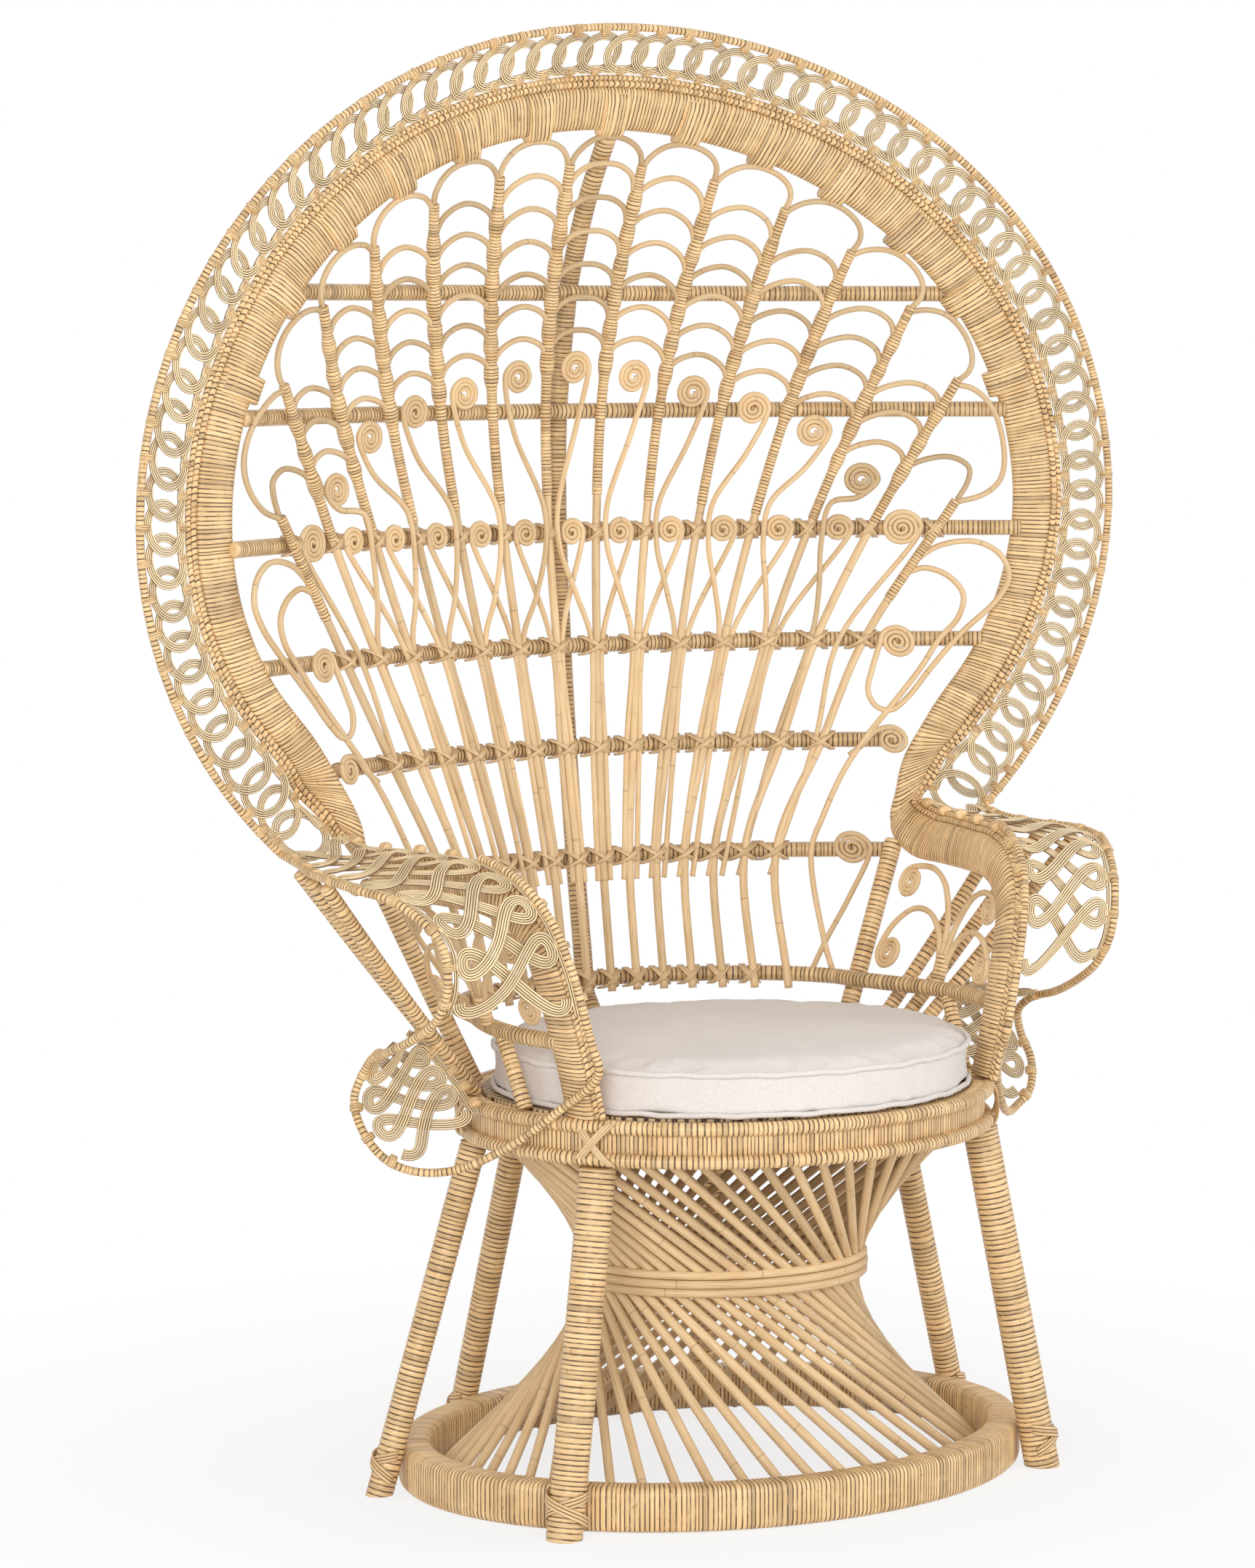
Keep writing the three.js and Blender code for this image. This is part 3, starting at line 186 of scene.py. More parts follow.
def shell_y(x, z):
    """How far back the shell of the fan lies: it leans forward above and below, and bows at its sides."""
    x, z = np.asarray(x, float), np.asarray(z, float)
    below = np.maximum(SHELL_Z - z, 0) / (SHELL_Z - HORSESHOE_Z)
    above = np.maximum(z - SHELL_Z, 0) / SHELL_RISE
    low = np.maximum(RAILS[3] - z, 0) / (RAILS[3] - HORSESHOE_Z)
    bow = SHELL_BOW / INNER["width"] ** 2 * (1 + 0.7 * low + 0.77 * low ** 6)
    return SHELL_BACK - SHELL_LOW * below ** 1.5 - SHELL_HIGH * above ** 2 - bow * x * x


def on_shell(x, z, lift):
    """Places in front of the shell of the fan, at a distance square to it."""
    x, z = np.broadcast_arrays(np.asarray(x, float), np.asarray(z, float))
    sx = (shell_y(x + 1, z) - shell_y(x - 1, z)) / 2
    sz = (shell_y(x, z + 1) - shell_y(x, z - 1)) / 2
    return np.stack([x, shell_y(x, z) - lift * np.sqrt(1 + sx ** 2 + sz ** 2), z], -1)


def fan_point(edge, degrees):
    """Places on one of the fan's ovals, at angles from its crown towards the right."""
    a = np.radians(np.asarray(degrees, float))
    up = np.cos(a)
    height = np.where(up > 0, edge["rise"], edge["drop"])
    back = FAN_SIDE_Y + FAN_TOP_BACK * np.maximum(0, up) ** 3 + FAN_LOW_BACK * np.maximum(0, -up)
    y = back - edge["forward"] - edge["flare"] * np.maximum(0, up) ** 2
    return np.stack([edge["width"] * np.sin(a), y, FAN_Z + height * up], -1)


def arm_x(y, z):
    """How far out the arm's panel lies."""
    return ARM_REACH + ARM_FLARE * (z - SEAT_TOP) + ARM_TOE * (y + ARM_DEPTH)


def flip(points, side):
    return np.asarray(points, float) * [side, 1, 1]


def arm_rows(side):
    height = ARM_TOP - SEAT_TOP
    rows = []
    for oy, oz, iy, iz, tuck in ARM_ROWS:
        y1, z1, y0, z0 = oy * ARM_DEPTH, SEAT_TOP + oz * height, iy * ARM_DEPTH, SEAT_TOP + iz * height
        rows.append([side * (arm_x(y0, z0) - tuck * ARM_TUCK), y0, z0, side * arm_x(y1, z1), y1, z1])
    low, (y0, y1) = SEAT_TOP + 0.5, (-0.75 * ARM_DEPTH, -ARM_DEPTH)
    return rows + [[side * arm_x(y0, low), y0, low, side * arm_x(y1, low), y1, low]]


def neck_rows(side):
    return [
        [*flip([ix * INNER["width"], back * FAN_SIDE_Y, iz * FAN_Z], side),
         *flip([ox * INNER["width"], back * FAN_SIDE_Y, oz * FAN_Z], side)]
        for ix, iz, ox, oz, back in NECK
    ]


def band_lines():
    """Inner and outer edge of the wrapped band, from the left foot over the fan to the right foot."""
    angles = np.linspace(-BAND_END, BAND_END, FAN_ROWS)
    head = [np.concatenate([fan_point(INNER, d), fan_point(OUTER, d)]) for d in angles]
    rows = arm_rows(-1)[::-1] + neck_rows(-1)[::-1] + head + neck_rows(1) + arm_rows(1)
    return spline(rows, 3.0), np.array(rows, float)


BAND, BAND_ROWS = band_lines()
BAND_CENTRE = (BAND[:, :3] + BAND[:, 3:]) / 2


def trim_line(out):
    """A line beside the band's outer edge."""
    edge = BAND[:, 3:]
    along = unit(np.gradient(edge, axis=0))
    across = edge - BAND[:, :3]
    across = unit(across - np.sum(across * along, 1, keepdims=True) * along)
    return edge + out * across


def wing_place(p):
    return np.array([p[0] * WING_WIDTH, p[1] * WING_DEPTH, p[2] * WING_TOP])


def wing_rim_points(side):
    places = [wing_place(p) for p in WING_RIM]
    return flip([fan_point(RIM, RIM_END), *places, [arm_x(*WING_END), *WING_END]], side)


def post_foot(degrees):
    return oval_place(SEAT, degrees, SEAT["wall"] / 2, FOOT_Z)


def rib_x(u, z):
    """How far out rib line u runs; whole numbers are the middles of the columns between ribs."""
    spread = np.clip((z - RAILS[3]) / (RAILS[1] - RAILS[3]), 0, 1)
    reach = np.maximum(z, RAILS[5]) - RIB_FOCUS
    return u * RIB_STEP * (reach * (1 + RIB_GROWTH * u * u * spread) - RIB_LOW * np.maximum(RAILS[5] - z, 0))


def meet_height(u, gap):
    """Height at which a rib line meets an oval that lies inside the band by a gap."""
    low, high = FAN_Z, FAN_Z + INNER["rise"] - gap
    for _ in range(24):
        z = (low + high) / 2
        inside = math.hypot(rib_x(u, z) / (INNER["width"] - gap), (z - FAN_Z) / (INNER["rise"] - gap)) < 1
        low, high = (z, high) if inside else (low, z)
    return low


def rail_end(z):
    """How far out a rail reaches: to the neck below the fan, to the band's inner oval above."""
    (top_x, top_z, *_), (low_x, low_z, *_) = NECK[0], NECK[2]
    top, bottom = top_z * FAN_Z, low_z * FAN_Z
    if z < top:
        return (low_x + (top_x - low_x) * max(0, (z - bottom) / (top - bottom))) * INNER["width"]
    height = INNER["rise"] if z > FAN_Z else INNER["drop"]
    return INNER["width"] * math.sqrt(1 - ((z - FAN_Z) / height) ** 2)


def horseshoe_line():
    shares = [
        (0.85, 0.519), (0.872, 0.415), (0.908, 0.257), (0.96, 0.083), (0.996, -0.234), (1, -0.605),
        (0.96, -1.05),
    ]
    bend = [on_shell(HORSESHOE_BEND * i / 5, HORSESHOE_Z, 0) for i in range(6)]
    arms = [
        np.array([x * HORSESHOE_WIDTH, y * (HORSESHOE_BACK if y > 0 else HORSESHOE_FRONT), HORSESHOE_Z])
        for x, y in shares
    ]
    return spline([*flip(bend + arms, -1)[::-1], *bend[1:], *arms], 3)


# Skins

def skin(rings, v, closed, tone):
    """Closed skin over rings of equal count, with u in metres round it and v along it."""
    rings = np.asarray(rings, float)
    m, k, _ = rings.shape
    i, j = np.arange(m if closed else m - 1)[:, None], np.arange(k)[None, :]
    here, there = i * k, ((i + 1) % m) * k
    quads = np.stack([here + j, here + (j + 1) % k, there + (j + 1) % k, there + j], -1).reshape(-1, 4)
    u = np.concatenate([[0], np.cumsum(np.linalg.norm(np.roll(rings, -1, 1) - rings, axis=2).mean(0))]) * MM
    v = np.asarray(v, float)
    uv = np.stack([
        np.stack([u[j] + 0 * i, v[i] + 0 * j], -1), np.stack([u[j + 1] + 0 * i, v[i] + 0 * j], -1),
        np.stack([u[j + 1] + 0 * i, v[i + 1] + 0 * j], -1), np.stack([u[j] + 0 * i, v[i + 1] + 0 * j], -1),
    ], 2).reshape(-1, 4, 2)
    caps = [] if closed else [np.arange(k)[::-1], (m - 1) * k + np.arange(k)]
    p = rings.reshape(-1, 3)
    a, b, c, d = (p[quads[:, n]] for n in range(4))
    volume = np.sum(a * np.cross(b, c)) + np.sum(a * np.cross(c, d))
    for cap in caps:
        fan = p[cap]
        volume += np.sum(fan[0] * np.cross(fan[1:-1], fan[2:]))
    if volume < 0:
        quads, uv, caps = quads[:, ::-1], uv[:, ::-1], [cap[::-1] for cap in caps]
    return {"p": p, "quads": quads, "uv": uv, "caps": caps, "ends": (v[0], v[-1]), "tone": tone}


def lay_frames(path, closed, lead):
    """Direction of a line and two directions square to it, carried on from the lead without a twist."""
    t = (np.roll(path, -1, 0) - np.roll(path, 1, 0)) if closed else np.gradient(path, axis=0)
    t = unit(t)
    lead = np.asarray(lead, float)
    if lead.ndim == 2:
        n = unit(lead - np.sum(lead * t, 1, keepdims=True) * t)
        return t, n, np.cross(t, n)
    n = np.empty_like(t)
    last = lead
    for i in range(len(t)):
        last = last - last.dot(t[i]) * t[i]
        last = last / max(np.linalg.norm(last), 1e-9)
        n[i] = last
    return t, n, np.cross(t, n)


def section_ring(n, b, corners, flat):
    """Corners of a round section about each place, one unit away, and their turns."""
    turn = 2 * np.pi * (np.arange(corners) + 0.5) / corners
    return n[:, None] * np.cos(turn)[None, :, None] * flat + b[:, None] * np.sin(turn)[None, :, None], turn


def cane(path, radius, corners=6, closed=False, lead=(0, -1, 0), tone=None, flat=1.0, turns=False):
    """Bare cane along a line; flat narrows it along its lead.

    With turns, u counts the turn round the cane from its lead instead of metres.
    """
    path = np.asarray(path, float)
    if closed and np.linalg.norm(path[0] - path[-1]) < 1e-6:
        path = path[:-1]
    _, n, b = lay_frames(path, closed, np.broadcast_to(lead, path.shape) if closed else lead)
    radius = np.broadcast_to(np.asarray(radius, float), (len(path),))[:, None, None]
    ring, _ = section_ring(n, b, corners, flat)
    v = arc(np.concatenate([path, path[:1]]) if closed else path) * MM
    part = skin(path[:, None] + ring * radius, v, closed, rng.random() if tone is None else tone)
    if turns:
        part["uv"][..., 0] = part["uv"][..., 0] / part["uv"][..., 0].max() + 0.5 / corners
    return part


def level_ends(rings, t, floor, roof):
    """Ends a cane in level cuts where it would pass a floor or a roof."""
    for level, way in ((floor, 1), (roof, -1)):
        if level is not None:
            over = np.maximum((level - rings[..., 2]) * way, 0) * way
            rings = rings + t[:, None] * (over / t[:, None, 2])[..., None]
    return rings


def strands(length, pitch, groove):
    """Where each turn of a wrapping begins, swells and ends: places, counts and depths."""
    count = max(2, int(round(length / pitch)))
    widths = np.clip(1 + 0.16 * rng.standard_normal(count), 0.6, 1.4)
    edges = np.concatenate([[0], np.cumsum(widths)]) * length / widths.sum()
    s, v, d = [], [], []
    for phase, depth in ((0.0, groove), (0.25, 0.0), (0.72, 0.0)):
        s.append(edges[:-1] + phase * np.diff(edges))
        v.append(np.arange(count) + phase)
        d.append(np.full(count, depth))
    s, v, d = (np.stack(x, 1).ravel() for x in (s, v, d))
    return np.append(s, length), np.append(v, count), np.append(d, groove)


def wrapped(path, radius, pitch=5.0, corners=8, closed=False, lead=(0, -1, 0), groove=0.6, flat=1.0,
            floor=None, roof=None, slant=0.0):
    """Cane closely wrapped with split cane, a ridge for each turn.

    The radius may be a list along the path; floor and roof end the cane in level cuts.
    """
    path = np.asarray(path, float)
    if closed and np.linalg.norm(path[0] - path[-1]) > 1e-6:
        path = np.concatenate([path, path[:1]])
    length = arc(path)[-1]
    s, v, depth = strands(length, pitch, groove)
    radius = np.asarray(radius, float)
    if radius.ndim:
        radius = np.interp(s, np.linspace(0, length, len(radius)), radius)
    places = at(path, s)
    t = unit(at(path, np.minimum(s + 2, length)) - at(path, np.maximum(s - 2, 0)))
    if closed:
        places, t, depth = places[:-1], t[:-1], depth[:-1]
        radius = radius[:-1] if np.ndim(radius) else radius
        n = unit(np.asarray(lead) - np.sum(np.asarray(lead) * t, 1, keepdims=True) * t)
        b = np.cross(t, n)
    else:
        _, n, b = lay_frames(places, False, lead)
    ring, turn = section_ring(n, b, corners, flat)
    rings = places[:, None] + ring * (radius - depth)[:, None, None]
    if slant:
        rings = rings + t[:, None] * (slant * np.cos(turn)[None, :, None])
    rings = level_ends(rings, t, floor, roof)
    return skin(rings, v, closed, rng.random())


def bundle(path, offsets, radius, normal):
    """Parallel strands of one line, side by side in the surface that the normal stands on."""
    side = unit(np.cross(unit(np.gradient(path, axis=0)), normal))
    base = rng.random()
    return [
        cane(path + off * side, radius, lead=normal, turns=True,
             tone=np.clip(base + 0.25 * rng.standard_normal(), 0, 1))
        for off in offsets
    ]


def join(parts):
    """Skins as one mesh: points, loops, face sizes, the loops' places on strands and the points' tones."""
    points = np.concatenate([part["p"] for part in parts])
    start, loops, sizes, uvs, tones = 0, [], [], [], []
    for part in parts:
        loops.append(part["quads"].ravel() + start)
        sizes.append(np.full(len(part["quads"]), 4))
        uvs.append(part["uv"].reshape(-1, 2))
        for cap, v in zip(part["caps"], part["ends"]):
            loops.append(cap + start)
            sizes.append([len(cap)])
            uvs.append(np.stack([np.zeros(len(cap)), np.full(len(cap), v + 0.5)], -1))
        tones.append(np.full(len(part["p"]), part["tone"]))
        start += len(part["p"])
    return points, np.concatenate(loops), np.concatenate(sizes), np.concatenate(uvs), np.concatenate(tones)


def add_piece(name, parts, finish, slot, *nodes, body="frame"):
    """One mesh object from its skins, which rides on its body and stands for its nodes."""
    points, loops, sizes, uvs, tones = join(parts)
    mesh = bpy.data.meshes.new(name)
    mesh.vertices.add(len(points))
    mesh.vertices.foreach_set("co", ((points - MIDDLE) * MM).astype(np.float32).ravel())
    mesh.loops.add(len(loops))
    mesh.loops.foreach_set("vertex_index", loops.astype(np.int32))
    mesh.polygons.add(len(sizes))
    mesh.polygons.foreach_set("loop_start", np.concatenate([[0], np.cumsum(sizes)[:-1]]).astype(np.int32))
    mesh.polygons.foreach_set("use_smooth", np.ones(len(sizes), bool))
    layer = mesh.uv_layers.new(name="strands")
    layer.data.foreach_set("uv", uvs.astype(np.float32).ravel())
    tone = mesh.attributes.new("tone", "FLOAT", "POINT")
    tone.data.foreach_set("value", tones.astype(np.float32))
    mesh.update(calc_edges=True)
    obj = bpy.data.objects.new(name, mesh)
    bpy.context.scene.collection.objects.link(obj)
    return dress(obj, finish, slot, *nodes, body=body)


def dress(obj, finish, slot, *nodes, body="frame"):
    """Gives a piece its finish, its body, its slot and the CAD nodes that it stands for."""
    obj.data.materials.clear()
    obj.data.materials.append(finish)
    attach(obj, body)
    if nodes:
        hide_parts(*nodes)
    return obj


# Finishes

BLACK, WHITE = (0, 0, 0, 1), (1, 1, 1, 1)
CANE_IOR = 1.45
MIXED = {"data_type": "RGBA", "blend_type": "MIX"}
MULTIPLIED = {"data_type": "RGBA", "blend_type": "MULTIPLY"}


def linear(code):
    """Linear colour of an sRGB hex code."""
    parts = [int(code[i:i + 2], 16) / 255 for i in (1, 3, 5)]
    return tuple(c / 12.92 if c <= 0.04045 else ((c + 0.055) / 1.055) ** 2.4 for c in parts) + (1.0,)


def tinted(colour, share):
    return tuple(c * share for c in colour[:3]) + (1.0,)


def grey(share):
    return share, share, share, 1


def node(tree, kind, inputs, out=0, stops=(), **settings):
    """Adds one node with its inputs, as values or links, its settings and stops, and gives one output."""
    made = tree.nodes.new("ShaderNode" + kind)
    for key, value in settings.items():
        setattr(made, key, value)
    for key, value in inputs.items():
        if isinstance(value, bpy.types.NodeSocket):
            tree.links.new(value, made.inputs[key])
        else:
            made.inputs[key].default_value = value
    if stops:
        elements = made.color_ramp.elements
        elements[0].position, elements[0].color = stops[0]
        elements[1].position, elements[1].color = stops[-1]
        for place, colour in stops[1:-1]:
            elements.new(place).color = colour
    return made.outputs[out]


def new_finish(name):
    found = bpy.data.materials.new(name)
    found.use_nodes = True
    tree = found.node_tree
    return found, tree, tree.nodes["Principled BSDF"]


def set_shader(tree, shader, base, values, bump=None):
    """Joins colour and bump to a shader and sets its plain values."""
    tree.links.new(base, shader.inputs["Base Color"])
    for key, value in values.items():
        shader.inputs[key].default_value = value
    if bump is not None:
        tree.links.new(bump, shader.inputs["Normal"])


def strand_places(tree):
    """Place round the strand, place along it and the strand's own tone."""
    uv = node(tree, "UVMap", {}, uv_map="strands")
    u, v = node(tree, "SeparateXYZ", {0: uv}, 0), node(tree, "SeparateXYZ", {0: uv}, 1)
    return u, v, node(tree, "Attribute", {}, "Fac", attribute_name="tone")


def fibres(tree, u, v, round_scale, along_scale, seed):
    """Noise drawn out into fibres by its scales round and along the strand."""
    u = node(tree, "Math", {0: u, 1: round_scale}, operation="MULTIPLY")
    v = node(tree, "Math", {0: v, 1: along_scale}, operation="MULTIPLY")
    places = node(tree, "CombineXYZ", {0: u, 1: v, 2: seed})
    return node(tree, "TexNoise", {"Vector": places, "Scale": 1.0, "Detail": 3.0}, "Fac")


def strand_finish(name, colour, dark, gap, rough):
    """Split cane wrapped round a core: a tone for each turn, fine fibres and a dark line at its edge."""
    finish, tree, shader = new_finish(name)
    u, v, tone = strand_places(tree)
    seed = node(tree, "Math", {0: tone, 1: 91.7}, operation="MULTIPLY")
    turn = node(tree, "Math", {0: v}, operation="FLOOR")
    own = node(tree, "CombineXYZ", {0: turn, 1: seed})
    own = node(tree, "TexWhiteNoise", {0: own}, "Value", noise_dimensions="3D")
    base = node(tree, "ValToRGB", {0: own}, stops=[
        (0.0, tinted(colour, 0.64)), (0.1, tinted(colour, 0.86)), (0.5, colour), (1.0, tinted(colour, 1.12)),
    ])
    # Fibres run along the strand, that is round the core: 14 mm long and eight to a turn, which is 0.6 mm
    # each and coarser than real ones, so that they show
    fibre = fibres(tree, u, v, 70.0, 8.0, seed)
    grain = node(tree, "ValToRGB", {0: fibre}, stops=[
        (0.3, (0.78, 0.74, 0.68, 1)), (0.5, WHITE), (0.75, WHITE),
    ])
    base = node(tree, "Mix", {0: 0.75, 6: base, 7: grain}, 2, **MULTIPLIED)
    # Stains about 45 mm wide and brown flecks of 6 mm, as on natural cane
    places = node(tree, "TexCoord", {}, "Object")
    stain = node(tree, "TexNoise", {"Vector": places, "Scale": 22.0, "Detail": 4.0}, "Fac")
    stain = node(tree, "ValToRGB", {0: stain}, stops=[(0.3, (0.76, 0.67, 0.56, 1)), (0.52, WHITE)])
    base = node(tree, "Mix", {0: 0.6, 6: base, 7: stain}, 2, **MULTIPLIED)
    fleck = node(tree, "TexNoise", {"Vector": places, "Scale": 160.0, "Detail": 2.0}, "Fac")
    fleck = node(tree, "ValToRGB", {0: fleck}, stops=[(0.66, BLACK), (0.75, grey(0.7))])
    base = node(tree, "Mix", {0: fleck, 6: base, 7: dark}, 2, **MIXED)
    # Painted shade: a dark line in the groove between two turns, here and there fainter
    off = node(tree, "Math", {0: v}, operation="FRACT")
    off = node(tree, "Math", {0: off, 1: 0.5}, operation="SUBTRACT")
    off = node(tree, "Math", {0: off}, operation="ABSOLUTE")
    line = node(tree, "ValToRGB", {0: off}, stops=[(0.31, BLACK), (0.41, grey(0.9)), (0.5, grey(0.9))])
    faint = node(tree, "TexNoise", {"Vector": places, "Scale": 70.0, "Detail": 2.0}, "Fac")
    faint = node(tree, "ValToRGB", {0: faint}, stops=[(0.34, grey(0.55)), (0.54, WHITE)])
    line = node(tree, "Mix", {0: 1.0, 6: line, 7: faint}, 2, **MULTIPLIED)
    base = node(tree, "Mix", {0: line, 6: base, 7: gap}, 2, **MIXED)
    # Each turn stands up in its middle, and its fibres a little
    ridge = node(tree, "Math", {0: off, 1: 1.6}, operation="MULTIPLY")
    ridge = node(tree, "Math", {0: 1.0, 1: ridge}, operation="SUBTRACT")
    height = node(tree, "Math", {0: fibre, 1: 0.25}, operation="MULTIPLY")
    height = node(tree, "Math", {0: height, 1: ridge}, operation="ADD")
    bump = node(tree, "Bump", {"Strength": 0.5, "Distance": 0.0006, "Height": height})
    set_shader(tree, shader, base, {"Roughness": rough, "IOR": CANE_IOR, "Specular IOR Level": 0.5}, bump)
    return finish


def cane_finish(name, colour, dark, light, rough):
    """Peeled round rattan: long fibres, a tone for each cane and a thin brown ring at each of its joints."""
    finish, tree, shader = new_finish(name)
    u, v, tone = strand_places(tree)
    seed = node(tree, "Math", {0: tone, 1: 57.3}, operation="MULTIPLY")
    base = node(tree, "ValToRGB", {0: tone}, stops=[(0.0, dark), (0.4, colour), (1.0, light)])
    # Fibres 36 mm long and 0.8 mm wide, coarser than real ones, so that they show
    fibre = fibres(tree, u, v, 1300.0, 28.0, seed)
    grain = node(tree, "ValToRGB", {0: fibre}, stops=[
        (0.32, (0.7, 0.62, 0.52, 1)), (0.48, WHITE), (0.8, WHITE),
    ])
    base = node(tree, "Mix", {0: 0.9, 6: base, 7: grain}, 2, **MULTIPLIED)
    places = node(tree, "TexCoord", {}, "Object")
    stain = node(tree, "TexNoise", {"Vector": places, "Scale": 14.0, "Detail": 4.0}, "Fac")
    stain = node(tree, "ValToRGB", {0: stain}, stops=[(0.3, (0.84, 0.76, 0.68, 1)), (0.6, WHITE)])
    base = node(tree, "Mix", {0: 0.5, 6: base, 7: stain}, 2, **MULTIPLIED)
    # Joints about 190 mm apart, at places of its own for each cane
    along = node(tree, "Math", {0: v, 1: 5.2}, operation="MULTIPLY")
    along = node(tree, "Math", {0: along, 1: seed}, operation="ADD")
    along = node(tree, "Math", {0: along}, operation="FRACT")
    ring = node(tree, "ValToRGB", {0: along}, stops=[(0.0, grey(0.75)), (0.012, BLACK)])
    base = node(tree, "Mix", {0: ring, 6: base, 7: tinted(dark, 0.55)}, 2, **MIXED)
    bump = node(tree, "Bump", {"Strength": 0.45, "Distance": 0.0004, "Height": fibre})
    set_shader(tree, shader, base, {"Roughness": rough, "IOR": CANE_IOR, "Specular IOR Level": 0.35}, bump)
    return finish


def strip_finish(name, colour, crease_shade, rough):
    """Thin split canes side by side: pale skin, with a dark crease down both sides of each strand."""
    finish, tree, shader = new_finish(name)
    u, v, tone = strand_places(tree)
    base = node(tree, "ValToRGB", {0: tone}, stops=[
        (0.0, tinted(colour, 0.84)), (0.5, colour), (1.0, tinted(colour, 1.1)),
    ])
    seed = node(tree, "Math", {0: tone, 1: 57.3}, operation="MULTIPLY")
    # Fourteen streaks round each strand, 17 mm long
    streak = fibres(tree, u, v, 14.0, 60.0, seed)
    grain = node(tree, "ValToRGB", {0: streak}, stops=[
        (0.32, (0.74, 0.66, 0.56, 1)), (0.5, WHITE), (0.8, WHITE),
    ])
    base = node(tree, "Mix", {0: 0.8, 6: base, 7: grain}, 2, **MULTIPLIED)
    # Painted shade: the crease colour down both sides of each strand, where it meets its neighbours
    side = node(tree, "Math", {0: u, 1: 2 * math.pi}, operation="MULTIPLY")
    side = node(tree, "Math", {0: side}, operation="SINE")
    side = node(tree, "Math", {0: side}, operation="ABSOLUTE")
    side = node(tree, "ValToRGB", {0: side}, stops=[(0.66, BLACK), (0.9, grey(0.9)), (1.0, grey(0.9))])
    base = node(tree, "Mix", {0: side, 6: base, 7: crease_shade}, 2, **MIXED)
    set_shader(tree, shader, base, {"Roughness": rough, "IOR": CANE_IOR})
    return finish


def webbing_finish(name, colour, gap):
    """Flat cane woven over and under, in strips 8 mm apart."""
    finish, tree, shader = new_finish(name)
    places = node(tree, "TexCoord", {}, "Object")
    one, other = (
        node(tree, "TexWave", {"Vector": places, "Scale": 39.0}, "Fac", bands_direction=way) for way in "XY"
    )
    both = node(tree, "Math", {0: one, 1: other}, operation="MULTIPLY")
    # Painted shade: the gap colour, and a darker cane tone beside it, along the lines between strips
    base = node(tree, "ValToRGB", {0: both}, stops=[(0.02, gap), (0.15, tinted(colour, 0.8)), (1.0, colour)])
    bump = node(tree, "Bump", {"Strength": 0.5, "Distance": 0.001, "Height": both})
    set_shader(tree, shader, base, {"Roughness": 0.5}, bump)
    return finish


def canvas_finish(name, colour):
    """Cotton canvas: a plain weave, with soft slubs and a faint unevenness."""
    finish, tree, shader = new_finish(name)
    places = node(tree, "TexCoord", {}, "Object")
    # Threads 1.2 mm apart, coarser than real ones, so that they show
    thread = {"Vector": places, "Scale": 260.0, "Distortion": 1.5, "Detail": 2.0}
    weave = 0.0
    for way, share in (("X", 0.5), ("Y", 0.5), ("Z", 0.4)):
        threads = node(tree, "TexWave", thread, "Fac", bands_direction=way)
        threads = node(tree, "Math", {0: threads, 1: share}, operation="MULTIPLY")
        weave = node(tree, "Math", {0: weave, 1: threads}, operation="ADD")
    # Soft unevenness about 110 mm wide, and slubs of 2.4 mm
    soft = node(tree, "TexNoise", {"Vector": places, "Scale": 9.0, "Detail": 5.0}, "Fac")
    tone = node(tree, "ValToRGB", {0: soft}, stops=[(0.3, (0.9, 0.89, 0.88, 1)), (0.62, WHITE)])
    base = node(tree, "Mix", {0: 0.6, 6: colour, 7: tone}, 2, **MULTIPLIED)
    slub = node(tree, "TexNoise", {"Vector": places, "Scale": 420.0, "Detail": 3.0}, "Fac")
    tone = node(tree, "ValToRGB", {0: slub}, stops=[(0.35, (0.86, 0.84, 0.8, 1)), (0.6, WHITE)])
    base = node(tree, "Mix", {0: 0.5, 6: base, 7: tone}, 2, **MULTIPLIED)
    bump = node(tree, "Bump", {"Strength": 0.35, "Distance": 0.0004, "Height": weave})
    bump = node(tree, "Bump", {"Strength": 0.25, "Distance": 0.002, "Height": soft, "Normal": bump})
    set_shader(tree, shader, base, {"Roughness": 0.92, "Sheen Weight": 0.2, "Sheen Roughness": 0.5}, bump)
    return finish


def sees_white(tree):
    """1 for the rays that show the background itself: seen directly, mirrored or through glass."""
    direct, glossy, through = (
        node(tree, "LightPath", {}, f"Is {kind} Ray") for kind in ("Camera", "Glossy", "Transmission")
    )
    shiny = node(tree, "Math", {0: glossy, 1: through}, operation="MAXIMUM")
    return node(tree, "Math", {0: direct, 1: shiny}, operation="MAXIMUM")


def stage_finish(name, colour):
    """Paper floor that shows white to the camera and keeps the chair's soft shadow."""
    finish, tree, shader = new_finish(name)
    shader.inputs["Base Color"].default_value = colour
    shader.inputs["Roughness"].default_value = 0.9
    # The floor glows less under the chair: 0.78 up to 0.4 m from its middle, and in full from 1.1 m
    away = node(tree, "VectorMath", {0: node(tree, "TexCoord", {}, "Object")}, "Value", operation="LENGTH")
    far = node(tree, "MapRange", {0: away, 1: 0.4, 2: 1.1, 3: 0.78, 4: 1.0})
    seen = node(tree, "Math", {0: sees_white(tree), 1: far}, operation="MULTIPLY")
    glow = node(tree, "Emission", {"Color": WHITE, "Strength": 1.0})
    mixed = node(tree, "MixShader", {0: seen, 1: shader.outputs[0], 2: glow})
    tree.links.new(mixed, tree.nodes["Material Output"].inputs["Surface"])
    return finish


# Settings a user may change

def length_setting(name, description, default, low, high):
    return bpy.props.FloatProperty(
        name=name, description=description, default=default, min=low, max=high, unit="LENGTH")


def colour_setting(name, description, code):
    return bpy.props.FloatVectorProperty(
        name=name, description=description, subtype="COLOR", size=4, default=linear(code), min=0, max=1)


